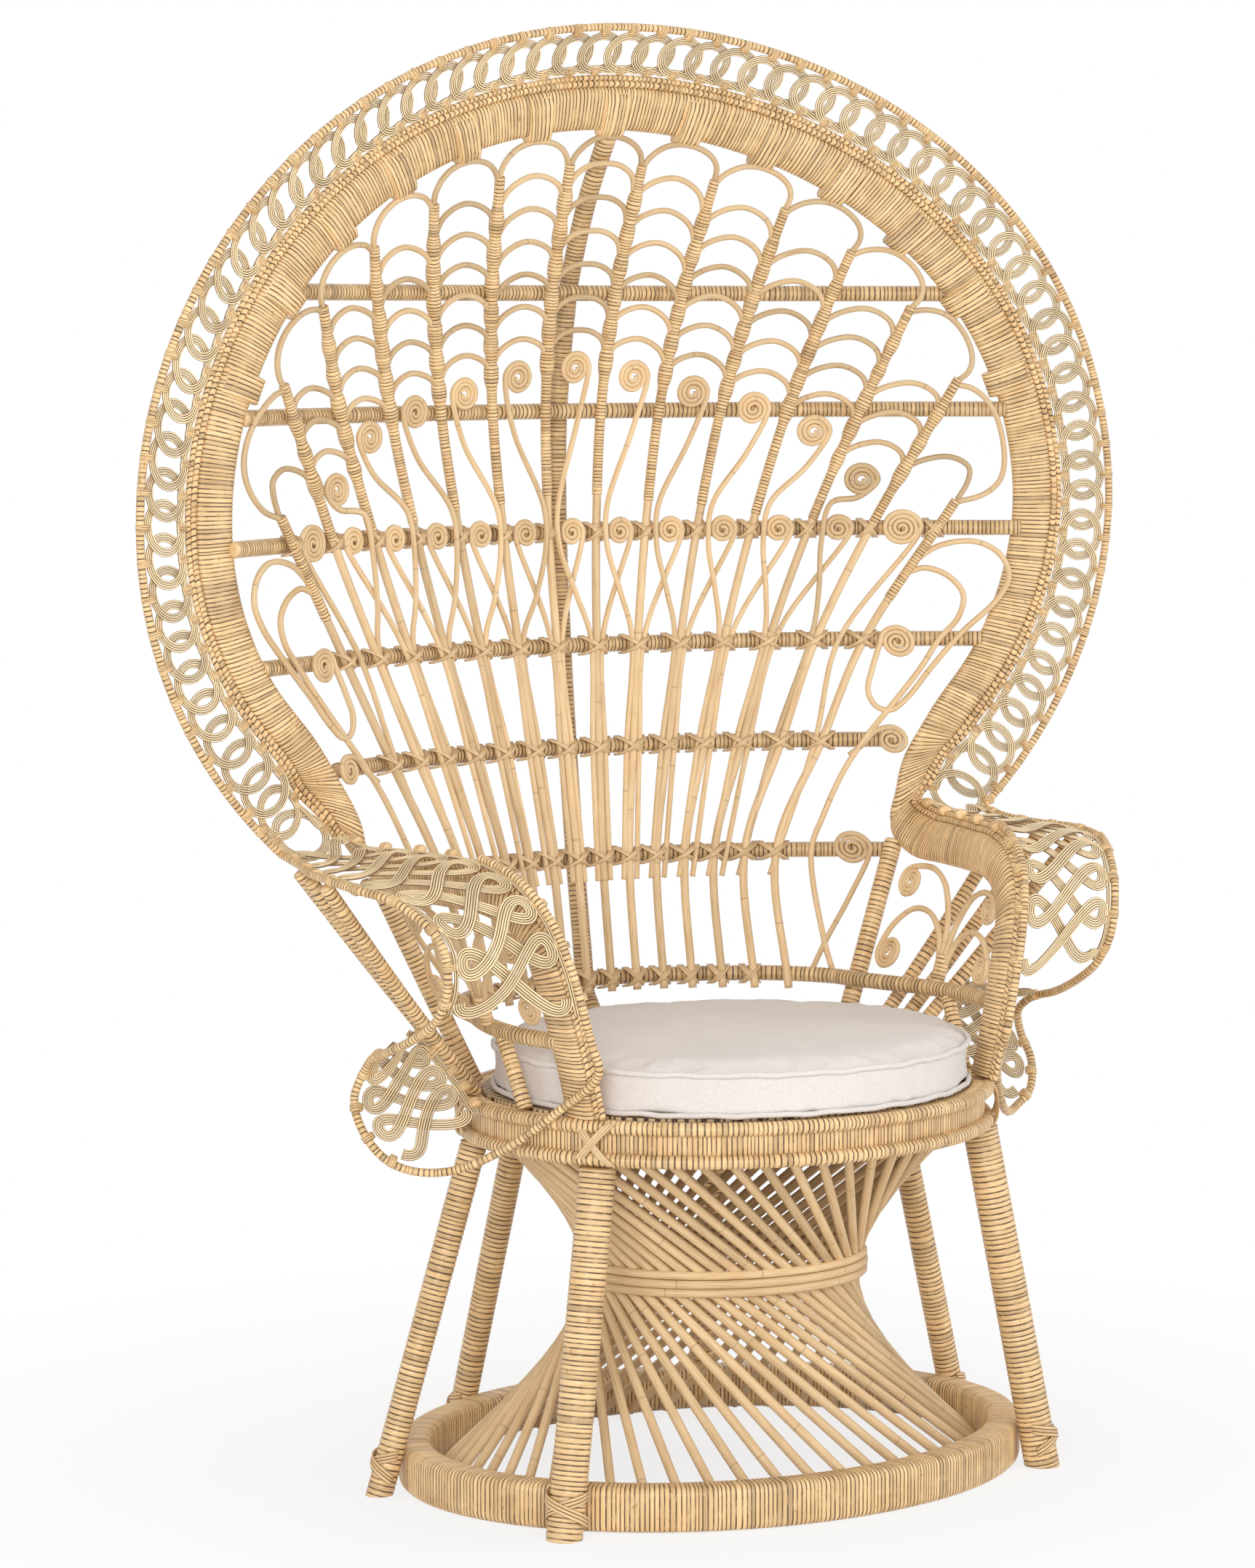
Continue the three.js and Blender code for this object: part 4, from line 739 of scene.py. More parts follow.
class ChairSizes(bpy.types.PropertyGroup):
    band_wrap: length_setting(
        "Band wrap", "Width of one turn of split cane on the fan band", 0.0042, 0.002, 0.012)
    lace_pitch: length_setting(
        "Lace spacing", "Distance from one ring of the fan's lace to the next", 0.0332, 0.018, 0.05)
    lace_strand: length_setting(
        "Lace strand", "Radius of one strand of the fan's lace", 0.00112, 0.0006, 0.002)
    cushion_side: length_setting(
        "Cushion side", "Height of the cushion's box side", 0.046, 0.02, 0.08)
    cushion_crown: length_setting(
        "Cushion crown", "Most that the filled cover may rise over its side", 0.026, 0.0, 0.035)


class ChairColours(bpy.types.PropertyGroup):
    wrapping: colour_setting("Wrapping", "Split cane on the band, rails and legs", "#f1cd99")
    # Dark flecks are the cane's own; on the straps this colour is painted shade in the creases
    flecks_and_crease_shade: colour_setting(
        "Dark wrapping", "Flecks on the split cane and creases of the straps", "#b68a55")
    gap: colour_setting("Gaps", "Shade between two turns, and in darker creases", "#3f2611")
    cane: colour_setting("Cane", "Bare peeled rattan, the straps and the woven deck", "#e4c79c")
    lace: colour_setting("Lace", "Pale rattan core of the lace", "#f0dab0")
    cotton: colour_setting("Cushion", "Cotton canvas of the cushion", "#e6e0dc")


def sizes():
    return bpy.context.scene.peacock_sizes


FINISHES = {}


def make_finish(name):
    c = bpy.context.scene.peacock_colours
    wrapping, dark, gap, peeled, lace, cotton = (
        tuple(x) for x in (c.wrapping, c.flecks_and_crease_shade, c.gap, c.cane, c.lace, c.cotton)
    )
    make, *values = {
        "wrapped": (strand_finish, "wrapped_split_rattan", wrapping, dark, gap, 0.36),
        "rail": (strand_finish, "darker_split_rattan", tinted(wrapping, 0.86), dark, gap, 0.36),
        "cane": (cane_finish, "peeled_round_rattan", peeled, tinted(peeled, 0.86),
                 tinted(peeled, 1.12), 0.48),
        # The arches take a darker copy of the peeled cane, as painted shade
        "arch": (cane_finish, "peeled_bent_rattan", tinted(peeled, 0.9), tinted(peeled, 0.76),
                 tinted(peeled, 1.02), 0.44),
        "deck": (webbing_finish, "woven_cane_panel", peeled, gap),
        # The lace and the straps take painted shade in the creases between their strands
        "lace": (strip_finish, "pale_rattan_core", lace, tinted(gap, 2.6), 0.45),
        "strap": (strip_finish, "split_rattan_straps", peeled, dark, 0.45),
        "cotton": (canvas_finish, "cotton_canvas", cotton),
    }[name]
    return make(*values)


def finish(name):
    """The named finish, made once from the colours."""
    if name not in FINISHES:
        FINISHES[name] = make_finish(name)
    return FINISHES[name]


# Base, legs and seat

def ring_section(oval, section, pitch, groove):
    """Oval ring wrapped upright: the section's places are (outwards, up)."""
    around = oval_place(oval, np.linspace(0, 360, 721), 0, 0)
    s, v, depth = strands(arc(around)[-1], pitch, groove)
    degrees = np.interp(s, arc(around), np.linspace(0, 360, 721))[:-1]
    middle = np.mean(section, 0)
    rings = []
    for place, d in zip(degrees, depth[:-1]):
        ring = []
        for out, up in section:
            pull = np.array([out - middle[0], up - middle[1]])
            pull = pull - pull / max(np.linalg.norm(pull), 1e-6) * d
            ring.append(oval_place(oval, place, -(middle[0] + pull[0]), middle[1] + pull[1]))
        rings.append(ring)
    return skin(rings, v, True, rng.random())


def rounded(out0, out1, low, high, r):
    """Corners of a rounded section."""
    made = []
    corners = [
        (out1 - r, high - r, 0), (out0 + r, high - r, 90), (out0 + r, low + r, 180), (out1 - r, low + r, 270),
    ]
    for cx, cz, start in corners:
        for step in (0, 30, 60, 90):
            a = math.radians(start + step)
            made.append((cx + r * math.cos(a), cz + r * math.sin(a)))
    return made


# Strands side by side in a strap, and for the straps round a post their radius and half sweep in degrees
STRAP_COUNT, HUG_STRAND, HUG_SWEEP = 3, 1.7, 100


def lashing(centre, normal, up, width, height, reach, depth, strand):
    """Split cane tied crosswise: two slanting straps of a few strands over whatever passes under them."""
    normal, up = unit(np.asarray(normal, float)), np.asarray(up, float)
    up = unit(up - up.dot(normal) * normal)
    side = np.cross(up, normal)
    made = []
    for way in (1, -1):
        for i in range(STRAP_COUNT):
            off = (i - (STRAP_COUNT - 1) / 2) * 2 * strand
            line = []
            for k in (-1, -0.72, -0.3, 0.3, 0.72, 1):
                lift = reach * (1 - abs(k) ** 3) - depth * abs(k) ** 3 + (0.8 if way > 0 else 0)
                line.append(centre + side * (k * width * way + off) + up * (k * height) + normal * lift)
            made.append(cane(spline(line, 6), strand, 6, lead=normal, turns=True))
    return made


def hug(centre, way, out, radius, height):
    """Two crossed straps that hug a round post, each of a few strands side by side."""
    way = unit(np.asarray(way, float))
    out = unit(np.asarray(out, float) - np.dot(out, way) * way)
    side = np.cross(way, out)
    made = []
    for lean in (1, -1):
        for i in range(STRAP_COUNT):
            shift = (i - (STRAP_COUNT - 1) / 2) * 2.1 * HUG_STRAND
            angle = np.radians(np.linspace(-HUG_SWEEP, HUG_SWEEP, 15))
            reach = radius + HUG_STRAND * (0.7 if lean > 0 else 1.9)
            ring = np.cos(angle)[:, None] * out + np.sin(angle)[:, None] * side
            rise = np.linspace(-height, height, 15) * lean + shift
            line = centre + ring * reach + rise[:, None] * way
            made.append(cane(line, HUG_STRAND, 6, lead=ring, flat=0.7, turns=True))
    return made


def binding(centre, along, radius, length=6.0, lead=(0, -1, 0), flat=0.85):
    """A few turns of split cane bound round whatever lies at a place."""
    along = unit(np.asarray(along, float)) * length / 2
    line = np.array([centre - along, centre, centre + along])
    return wrapped(line, radius, 2.0, 8, lead=lead, groove=0.45, flat=flat)


def add_wrapped(name, line, radius, pitch, corners, look="wrapped", **settings):
    """One wrapped cane as a piece of its own, which stands for the node of its name."""
    add_piece(f"{name}_wrapped", [wrapped(line, radius, pitch, corners, **settings)], finish(look),
              "wrapped_rattan", name)


def make_base():
    parts = [ring_section(BASE, rounded(-BASE["wall"], 0, 0, BASE["height"], 8), 4.8, 0.9)]
    add_piece("base_ring_wrapped", parts, finish("wrapped"), "wrapped_rattan", "base_ring")


def make_seat_ring():
    section = rounded(-SEAT["wall"], -3.5, SEAT["bottom"] + 2, SEAT_TOP - 2, 3)
    body = ring_section(SEAT, section, 4.6, 1.2)
    rolls = []
    for z in (SEAT_TOP - 7.4, SEAT["bottom"] + 8):
        path = oval_place(SEAT, np.linspace(0, 360, 241)[:-1], 0.2, z)
        rolls.append(wrapped(path, 7.2, 5.4, 8, closed=True, lead=(0, 0, 1)))
    add_piece("seat_ring_wrapped", [body, *rolls], finish("wrapped"), "wrapped_rattan", "seat_ring")


def make_hourglass():
    parts, waist = [], []
    inset = 4.3 * math.cos(math.pi / 4) + 1
    low, high = 6, SEAT["bottom"] + 16
    for i in range(RODS):
        degrees = 360 * i / RODS
        foot = oval_place(BASE, degrees, BASE["wall"] + inset, low)
        head = oval_place(SEAT, degrees - ROD_TURN, SEAT["wall"] + inset, high)
        parts.append(cane(even(np.array([foot, head]), 24), ROD_R, 8))
        waist.append(foot + (head - foot) * (HOOP_Z - low) / (high - low))
    waist = np.array(waist[::2])
    outward = unit(waist * [1, 1, 0])
    for dz, out in ((-9.2, 7.4), (0, 8.2), (9.2, 7.4)):
        path = waist + outward * out + [0, 0, dz]
        parts.append(cane(spline(path, 7, closed=True), 4.6, 8, closed=True, lead=(0, 0, 1)))
    add_piece("hourglass_canes", parts, finish("cane"), "rattan_cane", "hourglass_weave")


def leg_line(kind, side):
    """A leg from below the floor to above the seat ring's foot, where level cuts end it."""
    foot_angle, top_angle, radius = LEGS[kind]
    tie = BASE["height"] - 8
    low = oval_place(BASE, side * foot_angle, -(radius + 1), tie)
    high = oval_place(SEAT, side * top_angle, SEAT["wall"] / 2, SEAT["bottom"])
    way = (high - low) / (high[2] - low[2])
    return low + way * (-5 - tie), low + way * (SEAT["bottom"] + 4 - tie), radius


def make_legs():
    ties = []
    for kind in LEGS:
        for side, name in SIDES:
            low, high, radius = leg_line(kind, side)
            add_wrapped(f"leg_{kind}_{name}", even(np.array([low, high]), 4), radius, 5.4, 14, groove=0.8,
                        floor=0.2, roof=SEAT["bottom"] - 0.5)
            # Crossed straps hold the foot to the base ring and the top to the seat ring
            way = unit(high - low)
            out = unit(low * [1, 1, 0])
            centre = low + (high - low) * (31 - low[2]) / (high[2] - low[2])
            ties += hug(centre, way, out, radius, 13)
            angle = side * LEGS[kind][1]
            front = oval_place(SEAT, angle, -5, (SEAT["bottom"] + SEAT_TOP) / 2)
            outward = oval_place(SEAT, angle, -9, 0) * [1, 1, 0] + [0, SEAT["offset"], 0]
            ties += lashing(front, outward, (0, 0, 1), 19, 21, 3.2, 4, 1.8)
    add_piece("leg_lashings", ties, finish("strap"), "rattan_cane")


# Band, trims and rim

# Section of the band, as shares across it and of half its thickness
BAND_SECTION = [
    (0.0, 0.0), (0.05, 0.6), (0.2, 0.92), (0.5, 1.0), (0.8, 0.92), (0.95, 0.6),
    (1.0, 0.0), (0.95, -0.6), (0.8, -0.92), (0.5, -1.0), (0.2, -0.92), (0.05, -0.6),
]


def make_band():
    length = arc(BAND_CENTRE)[-1]
    s, v, depth = strands(length, sizes().band_wrap / MM, 0.7)
    row = pick(s, arc(BAND_CENTRE), BAND)
    inner, outer = row[:, :3], row[:, 3:]
    t = unit(np.gradient((inner + outer) / 2, axis=0))
    across = unit(outer - inner)
    face = unit(np.cross(t, across))
    rings = []
    for share, height in BAND_SECTION:
        shrink = depth[:, None]
        place = inner + (outer - inner) * share + across * shrink * (1 - 2 * share)
        rings.append(place + face * height * (BAND_THICK / 2 - shrink))
    band = skin(np.stack(rings, 1), v, False, 0.3)
    add_piece("band_wrapped", [band], finish("wrapped"), "wrapped_rattan", "fan_band", "arm_band_left",
              "arm_band_right")


def make_trims():
    parts = []
    for out, radius in ((3.1, 3.9), (9.6, 3.1)):
        line = even(trim_line(out), 4)
        parts.append(wrapped(line, radius, 6.0, 8, groove=0.55, slant=2.0))
    add_piece("band_trim_wrapped", parts, finish("wrapped"), "wrapped_rattan", "band_trim")


def make_rims():
    head = fan_point(RIM, np.linspace(-RIM_END, RIM_END, 500))
    add_wrapped("fan_rim", head, 4.3, 4.6, 8, groove=0.45)
    for side, name in SIDES:
        # From its lower end the wing's rim runs on along the arm
        run = at(trim_line(16.4)[::-side], np.arange(48, 345, 30))
        line = spline([*wing_rim_points(side)[:-1], *run], 4)
        add_wrapped(f"wing_rim_{name}", line, 4.5, 4.8, 8, groove=0.45)


# Lace

WING_STRAND, LOBE_STRAND, TIE_OUT = 1.25, 1.2, 0.03


class Sheet:
    """A flowing surface between two lines, with places along it in millimetres and across it in shares."""

    def __init__(self, inner, outer, inner_gap, outer_gap):
        rows = spline(np.concatenate([inner, outer], 1), 4)
        a, b = rows[:, :3], rows[:, 3:]
        across = unit(b - a)
        self.inner, self.outer = a + across * inner_gap, b - across * outer_gap
        self.middle = (self.inner + self.outer) / 2
        self.along = arc(self.middle)
        self.length = self.along[-1]

    def line(self, which, s):
        return pick(s, self.along, which)

    def frame(self, s):
        inner, outer = self.line(self.inner, s), self.line(self.outer, s)
        before, after = np.maximum(s - 3, 0), np.minimum(s + 3, self.length)
        ahead = self.line(self.middle, after) - self.line(self.middle, before)
        up = unit(outer - inner)
        along = unit(ahead - np.sum(ahead * up, -1, keepdims=True) * up)
        return inner, outer, along, up, np.cross(along, up)

    def place(self, s, share):
        s = np.clip(s, 0, self.length)
        inner, outer, _, _, normal = self.frame(s)
        return inner + (outer - inner) * np.asarray(share)[..., None], normal


def lace_feet():
    """Where the lace starts beside the band, at each row that the band was drawn from."""
    marks = [np.argmin(np.linalg.norm(BAND[:, 3:] - row[3:], axis=1)) for row in BAND_ROWS]
    return trim_line(12.7)[marks]


def head_sheet():
    steps = np.linspace(-BAND_END, BAND_END, FAN_ROWS)
    tail = [BAND_END + (RIM_END - BAND_END) * (i + 1) / len(NECK) for i in range(len(NECK))]
    angles = np.concatenate([-np.array(tail)[::-1], steps, tail])
    return Sheet(lace_feet()[ARM_COUNT:-ARM_COUNT], fan_point(RIM, angles), 0.4, 5.4)


def make_fan_lace():
    sheet = head_sheet()
    strand = sizes().lace_strand / MM
    count = int(round(sheet.length / (sizes().lace_pitch / MM)))
    pitch = sheet.length / count
    theta = np.linspace(0, 2 * np.pi, 25)[:-1]
    rings, ties, edge = [], [], []
    offsets, lean = (np.arange(4) - 1.5) * 2.15 * strand, 0.06
    for i in range(count):
        s = (i + 0.5) * pitch
        inner, outer, along, up, normal = (x[0] for x in sheet.frame(np.array([s])))
        span = np.linalg.norm(outer - inner)
        centre = (inner + outer) / 2
        tone = rng.random()
        wide, tall = 0.72 * pitch * (1 + 0.03 * rng.standard_normal()), span / 2
        front = normal if normal[1] < 0 else -normal
        for off in offsets:
            r = (tall - 1.2 - 3 * strand - off) * np.sin(theta)
            q = (wide - off) * np.cos(theta) + lean * r
            lift = -2.6 * np.cos(theta)
            path = centre + q[:, None] * along + r[:, None] * up + lift[:, None] * front
            rings.append(cane(path, strand, 6, True, lead=front, turns=True,
                              tone=np.clip(tone + 0.3 * rng.standard_normal(), 0, 1)))
        ties.append(binding(centre + lean * tall * along + up * (tall + 2.2), along, 7.6, 6.4, front, 0.86))
        ties.append(binding(centre - lean * tall * along - up * (tall - 3.0), along, 5.6, 5.8, front, 0.8))
    # Strands that run along the inner edge and rise a little between the ties
    s = np.arange(pitch * 0.5, sheet.length - pitch * 0.5, 3.0)
    wave = np.abs(np.sin(np.pi * s / pitch))
    for off in (1.3, 3.7, 6.1):
        inner, outer, _, up, normal = sheet.frame(s)
        front = np.where(normal[:, 1:2] < 0, normal, -normal)
        edge.append(cane(inner + up * (off + 3.2 * wave)[:, None], strand, 6, lead=front, turns=True))
    add_piece("fan_lace_rings", rings + edge, finish("lace"), "pale_lace_cane", "fan_lace")
    add_piece("fan_lace_ties", ties, finish("wrapped"), "wrapped_rattan")


def net_loops(sheet, period, reach, swing, strand):
    """Two bundles that cross in the middle and turn in a round loop at each edge."""
    turns = max(1, int(round(sheet.length / period)))
    period = sheet.length / turns
    t = np.linspace(0, 2 * np.pi * turns, 46 * turns)
    s = period * t / (2 * np.pi) - reach * np.sin(2 * t)
    margin, first, last = 9, s.min(), s.max()

    def fitted(place):
        return margin + (place - first) * (sheet.length - 2 * margin) / (last - first)

    s = fitted(s)
    parts, ties = [], []
    for way in (1, -1):
        share = 0.5 + way * swing * np.cos(t)
        path, normal = sheet.place(s, share)
        lifted = path + normal * (2.6 * way * np.sin(t))[:, None]
        parts += bundle(lifted, (np.arange(5) - 2) * 2.1 * strand, strand, normal)
    for k in range(turns * 2 + 1):
        for way in (1, -1):
            edge = (1 if k % 2 == 0 else -1) * way
            here = np.array([np.clip(fitted(period * k / 2), 3, sheet.length - 3)])
            share = np.array([0.5 + edge * (0.5 + TIE_OUT)])
            middle, normal = sheet.place(here, share)
            ahead, _ = sheet.place(here + 2, share)
            behind, _ = sheet.place(here - 2, share)
            ties.append(binding(middle[0], ahead[0] - behind[0], 7.0, 7.0, normal[0], 0.85))
    return parts, ties


def edge_strands(sheet, share, offsets, strand):
    """Strands that run along a sheet at a share of its width."""
    s = np.arange(2, sheet.length - 2, 4.0)
    path, normal = sheet.place(s, np.full(len(s), share))
    return bundle(path, offsets, strand, normal)


def make_wings():
    feet = lace_feet()
    for side, name in SIDES:
        inner = feet[-ARM_COUNT - 1:] if side > 0 else feet[:ARM_COUNT + 1][::-1]
        sheet = Sheet(inner[:9], wing_rim_points(side)[:9], 0.6, 5.4)
        parts, ties = net_loops(sheet, 104, 24, 0.42, WING_STRAND)
        for share in (0.03, 0.97):
            parts += edge_strands(sheet, share, (-WING_STRAND, WING_STRAND), WING_STRAND)
        add_piece(f"wing_lace_{name}_loops", parts, finish("lace"), "pale_lace_cane", f"wing_lace_{name}")
        lobe = Sheet(flip([wing_place(p) for p in LOBE], side),
                     wing_rim_points(side)[LOBE_FIRST:LOBE_FIRST + len(LOBE)], 0, 5.0)
        loops, more = net_loops(lobe, 86, 19, 0.4, LOBE_STRAND)
        loops += edge_strands(lobe, 0.03, (-2 * LOBE_STRAND, 0, 2 * LOBE_STRAND), LOBE_STRAND)
        add_piece(f"wing_lobe_{name}_loops", loops, finish("lace"), "pale_lace_cane", f"wing_lobe_{name}")
        add_piece(f"wing_ties_{name}", ties + more, finish("wrapped"), "wrapped_rattan")


# Posts and rails

def make_posts():
    for side, name in SIDES:
        line = np.array([post_foot(side * POST_ANGLE), flip(POST_TOP, side)])
        add_wrapped(f"neck_post_{name}", line, 10, 5.2, 10, floor=FOOT_Z)
        for i, angle in enumerate(STRUT_ANGLES):
            foot = post_foot(side * angle)
            top = wing_rim_points(side)[i + 1] - [0, 0, 8]
            line = spline([foot, foot + (top - foot) * 0.5 + [side * 3, 0, 0], top], 4)
            add_wrapped(f"wing_strut_{name}_{i + 1}", line, 7.6, 5.8, 10, floor=FOOT_Z)
        line = np.array([post_foot(side * BRACE_ANGLE), flip(BRACE_TOP, side)])
        add_wrapped(f"arm_brace_{name}", line, 8, 5.2, 8, floor=FOOT_Z)


def make_rails():
    add_wrapped("seat_back_rail", horseshoe_line(), RAIL_R, 5.4, 10, "rail", lead=(0, 0, 1))
    for i, z in enumerate(RAILS):
        end = rail_end(z) + 4
        line = on_shell(np.linspace(-end, end, 120), z, 0)
        add_wrapped(f"back_rail_{i + 1}", line, RAIL_R, 5.0, 10, "rail")


def make_spine():
    """Spine from the seat ring up behind the rails, which comes forward under the band at its top."""
    offset = RAIL_R + 9.3
    low = on_shell(0, HORSESHOE_Z, -offset)
    before = low.copy()
    before[2] = HORSESHOE_Z - 12
    knee = np.array([0, 235, 440])
    middle = [on_shell(0, z, -offset) for z in [*RAILS[::-1], RAILS[0] + 12]]
    fade = on_shell(0, FAN_Z + INNER["rise"] - 75, -offset / 2)
    end = fan_point(INNER, 0) + [0, 0, 2]
    line = spline([post_foot(180), knee, before, low, *middle, fade, end], 4)
    add_wrapped("back_spine", line, 11, 4.6, 12, "rail", flat=0.82, floor=FOOT_Z)


# Ribs, scrolls and arches

RIB_LIFT = RAIL_R + 0.3 + RIB_R
NEAR_LIFT = RAIL_R + 0.3 + SIDE_R
ARCH_LIFT = RAIL_R + 0.3 + ARCH_R
FRONT_LIFT = NEAR_LIFT + SIDE_R + 4.8
SIDE_STEP = RIB_R + SIDE_R - 0.2
EYE_R, TIP_R, COIL_PITCH, COIL_STEPS = 2.6, 2.25, 4.7, 12
COLLAR_HALF = 14


def upper_scroll_z(column):
    """Height of the scroll in a column, lower towards the sides."""
    return 1138 - 123 * (0, 0.08, 0.22, 0.366, 0.57, 1)[int(column)]


def coil(x, z, radius, start, place):
    """Flat scroll wound from its outer edge inwards; it starts on the side 1 or -1, or at the top with 0."""
    steps = int(round((radius - EYE_R) / COIL_PITCH * COIL_STEPS))
    i = np.arange(steps + 1)
    turn, reach = 2 * np.pi * i / COIL_STEPS, radius + (EYE_R - radius) * i / steps
    if start == 0:
        return place(x + reach * np.sin(turn), z + reach * np.cos(turn))
    return place(x + start * reach * np.cos(turn), z + reach * np.sin(turn))


def wound(path, coil_points, thick, lead=(0, -1, 0)):
    """Cane that ends in a scroll and grows thin towards its eye."""
    line = spline([*path, *coil_points], 3)
    s = arc(line)
    tail = arc(coil_points)[-1]
    share = np.clip((s - (s[-1] - tail)) / tail, 0, 1)
    return cane(line, thick - (thick - TIP_R) * share ** 0.6, 6, lead=lead)


def shell_coil(x, z, radius, start, lift):
    return coil(x, z, radius, start, lambda a, b: on_shell(a, b, lift))


def side_foot(u, step):
    """Lower end of a side cane, at a step beside its rib."""
    made = []
    for z in (588, RAILS[4], RAILS[3] + 10):
        x = rib_x(u, z)
        slope = (shell_y(x + 1, z) - shell_y(x - 1, z)) / 2
        made.append(on_shell(x + step / math.hypot(1, slope), z, RIB_LIFT))
    return made


def hug_x(u, z):
    """How far out a side cane runs where it lies beside the rib before its own."""
    return rib_x(u - 1, z) + RIB_R + SIDE_R + 1


def inner_cane(u):
    """Side cane that crosses to the rib before its own and ends in the upper scroll between them."""
    foot, z = side_foot(u, -SIDE_STEP), RAILS[2]
    column = u - 0.5
    scroll_z = upper_scroll_z(column)
    x = rib_x(column, scroll_z)
    cross_x = (foot[-1][0] + hug_x(u, z)) / 2
    crossing = [
        on_shell(cross_x, RAILS[3] + 0.45 * (z - RAILS[3]), FRONT_LIFT),
        on_shell(hug_x(u, z), z - SCROLL_R, FRONT_LIFT),
        on_shell(hug_x(u, z + 28), z + 28, FRONT_LIFT),
    ]
    hug = hug_x(u, z)
    rise = on_shell(hug + 0.7 * (x + UPPER_SCROLL_R - hug), z + 0.65 * (scroll_z - z), NEAR_LIFT)
    return [*foot, *crossing, rise], shell_coil(x, scroll_z, UPPER_SCROLL_R, 1, NEAR_LIFT)


def scroll_canes(place, side):
    """Side canes of a rib with their scrolls."""
    u, z = place - 0.5, RAILS[2]
    made = []
    if place == RIB_COUNT:
        foot = side_foot(u, -SIDE_STEP)[:2]
        between = on_shell(rib_x(u - 0.5, RAILS[3]), RAILS[3], NEAR_LIFT)
        made.append(([*foot, between], shell_coil(rib_x(u - 0.5, z), z, BIG_SCROLL_R, 1, NEAR_LIFT)))
    elif place == 1 and side < 0:
        made.append((side_foot(0.5, -SIDE_STEP), shell_coil(0, z, SCROLL_R, -1, NEAR_LIFT)))
    else:
        made.append(inner_cane(u))
    if place < RIB_COUNT - 1:
        made.append((side_foot(u, SIDE_STEP), shell_coil(rib_x(u + 0.5, z), z, SCROLL_R, 1, NEAR_LIFT)))
    return made


# Arches, as shares of their width across and down from the crown
ARCH_SHAPE = [
    (-0.5, 0.27), (-0.4, 0.115), (-0.22, 0.02), (-0.02, -0.005), (0.18, 0.06), (0.36, 0.19), (0.46, 0.36),
    (0.5, 0.58),
]
LEVEL_SHAPE = [(-0.5, 0.42), (-0.4, 0.15), (-0.2, 0.025), (0, 0), (0.2, 0.025), (0.4, 0.15), (0.5, 0.42)]


def arch_line(column, crown):
    width = RIB_STEP * (crown - RIB_FOCUS)
    shape = LEVEL_SHAPE if column == 0 else ARCH_SHAPE
    made = []
    if column == RIB_COUNT - 1:
        shape = shape[:-2] + [(0.47, 0.42), (0.52, 0.72)]
    for across, down in shape:
        z = crown - down * width
        made.append(on_shell(rib_x(column + across, z), z, ARCH_LIFT + (1.5 if abs(across) < 0.5 else 0)))
    return spline(made, 5)


def arch_crowns(column):
    if column == RIB_COUNT - 1:
        return [LAST_CROWN]
    first = upper_scroll_z(column) + UPPER_SCROLL_R + 24
    width = RIB_STEP * (meet_height(column, 0) - RIB_FOCUS)
    last = meet_height(column + 0.5, RIB_TOP_GAP) - RIB_TAIL - 12 + width * 0.42
    return list(np.linspace(first, last, ARCH_COUNTS[column]))


def rib_top(u):
    """The last rib ends lower than its gap to the band would let it."""
    return LAST_RIB_TOP if u > RIB_COUNT - 1 else meet_height(u, RIB_TOP_GAP)


def crown_arch(column):
    """Round arch from the top of one rib to the top of the next, with its crown under the band."""
    ends = []
    for u in (column - 0.5, column + 0.5):
        z = rib_top(u) - (2 if u > column else 6)
        x = float(rib_x(u, z))
        ends.append((math.atan2(x / INNER["width"], (z - FAN_Z) / INNER["rise"]),
                     math.hypot(x / INNER["width"], (z - FAN_Z) / INNER["rise"])))
    (a, ra), (b, rb) = ends
    share = np.linspace(0, 1, 15)
    lift = np.sin(np.pi * share) ** 0.62
    ease = share - 0.045 * np.sin(2 * np.pi * share) * (1 if column else 0.6)
    angle = a + (b - a) * ease
    reach = (ra + (rb - ra) * share) * (1 - lift) + 0.984 * lift
    x, z = INNER["width"] * reach * np.sin(angle), FAN_Z + INNER["rise"] * reach * np.cos(angle)
    path = on_shell(x, z, ARCH_LIFT)
    level = np.maximum(0, np.cos(angle))
    band = FAN_SIDE_Y + FAN_TOP_BACK * level ** 3 - 2
    path[:, 1] += (band - path[:, 1]) * np.clip((reach - 0.9) / 0.084, 0, 1) ** 2
    return path


def rib_line(u):
    top = rib_top(u)
    zs = [470, *[z for z in RAILS[::-1] if z < top - RIB_TOP_GAP], top]
    return spline([on_shell(rib_x(u, z), z, RIB_LIFT) for z in zs], 5)


def make_ribs():
    for side, name in SIDES:
        for place in range(1, RIB_COUNT + 1):
            core = rib_line(place - 0.5)
            parts = [cane(flip(core, side), RIB_R, 8)]
            for path, turns in scroll_canes(place, side):
                parts.append(wound(flip(path, side), flip(turns, side), SIDE_R))
            rib = f"rib_{name}_{place}"
            add_piece(f"{rib}_canes", parts, finish("cane"), "rattan_cane", rib)


def make_rib_wraps():
    parts = []
    for side in (-1, 1):
        for place in range(1, RIB_COUNT + 1):
            core = rib_line(place - 0.5)
            top = core[core[:, 2] > (1010 - 8 * place if place < RIB_COUNT else 885)]
            # The wrapping swells where an arch meets the rib
            swell = np.full(len(top), 5.6)
            for column in (place - 1, place):
                if column > RIB_COUNT - 1:
                    continue
                for crown in arch_crowns(column):
                    width = RIB_STEP * (crown - RIB_FOCUS)
                    z = crown - (0.27 if column == place else 0.5) * width
                    swell += 2.2 * np.exp(-((top[:, 2] - z) / 9) ** 2)
            parts.append(wrapped(flip(top, side), np.minimum(swell, 8.2), 3.6, 8, groove=0.5))
    add_piece("rib_wrappings", parts, finish("wrapped"), "wrapped_rattan")


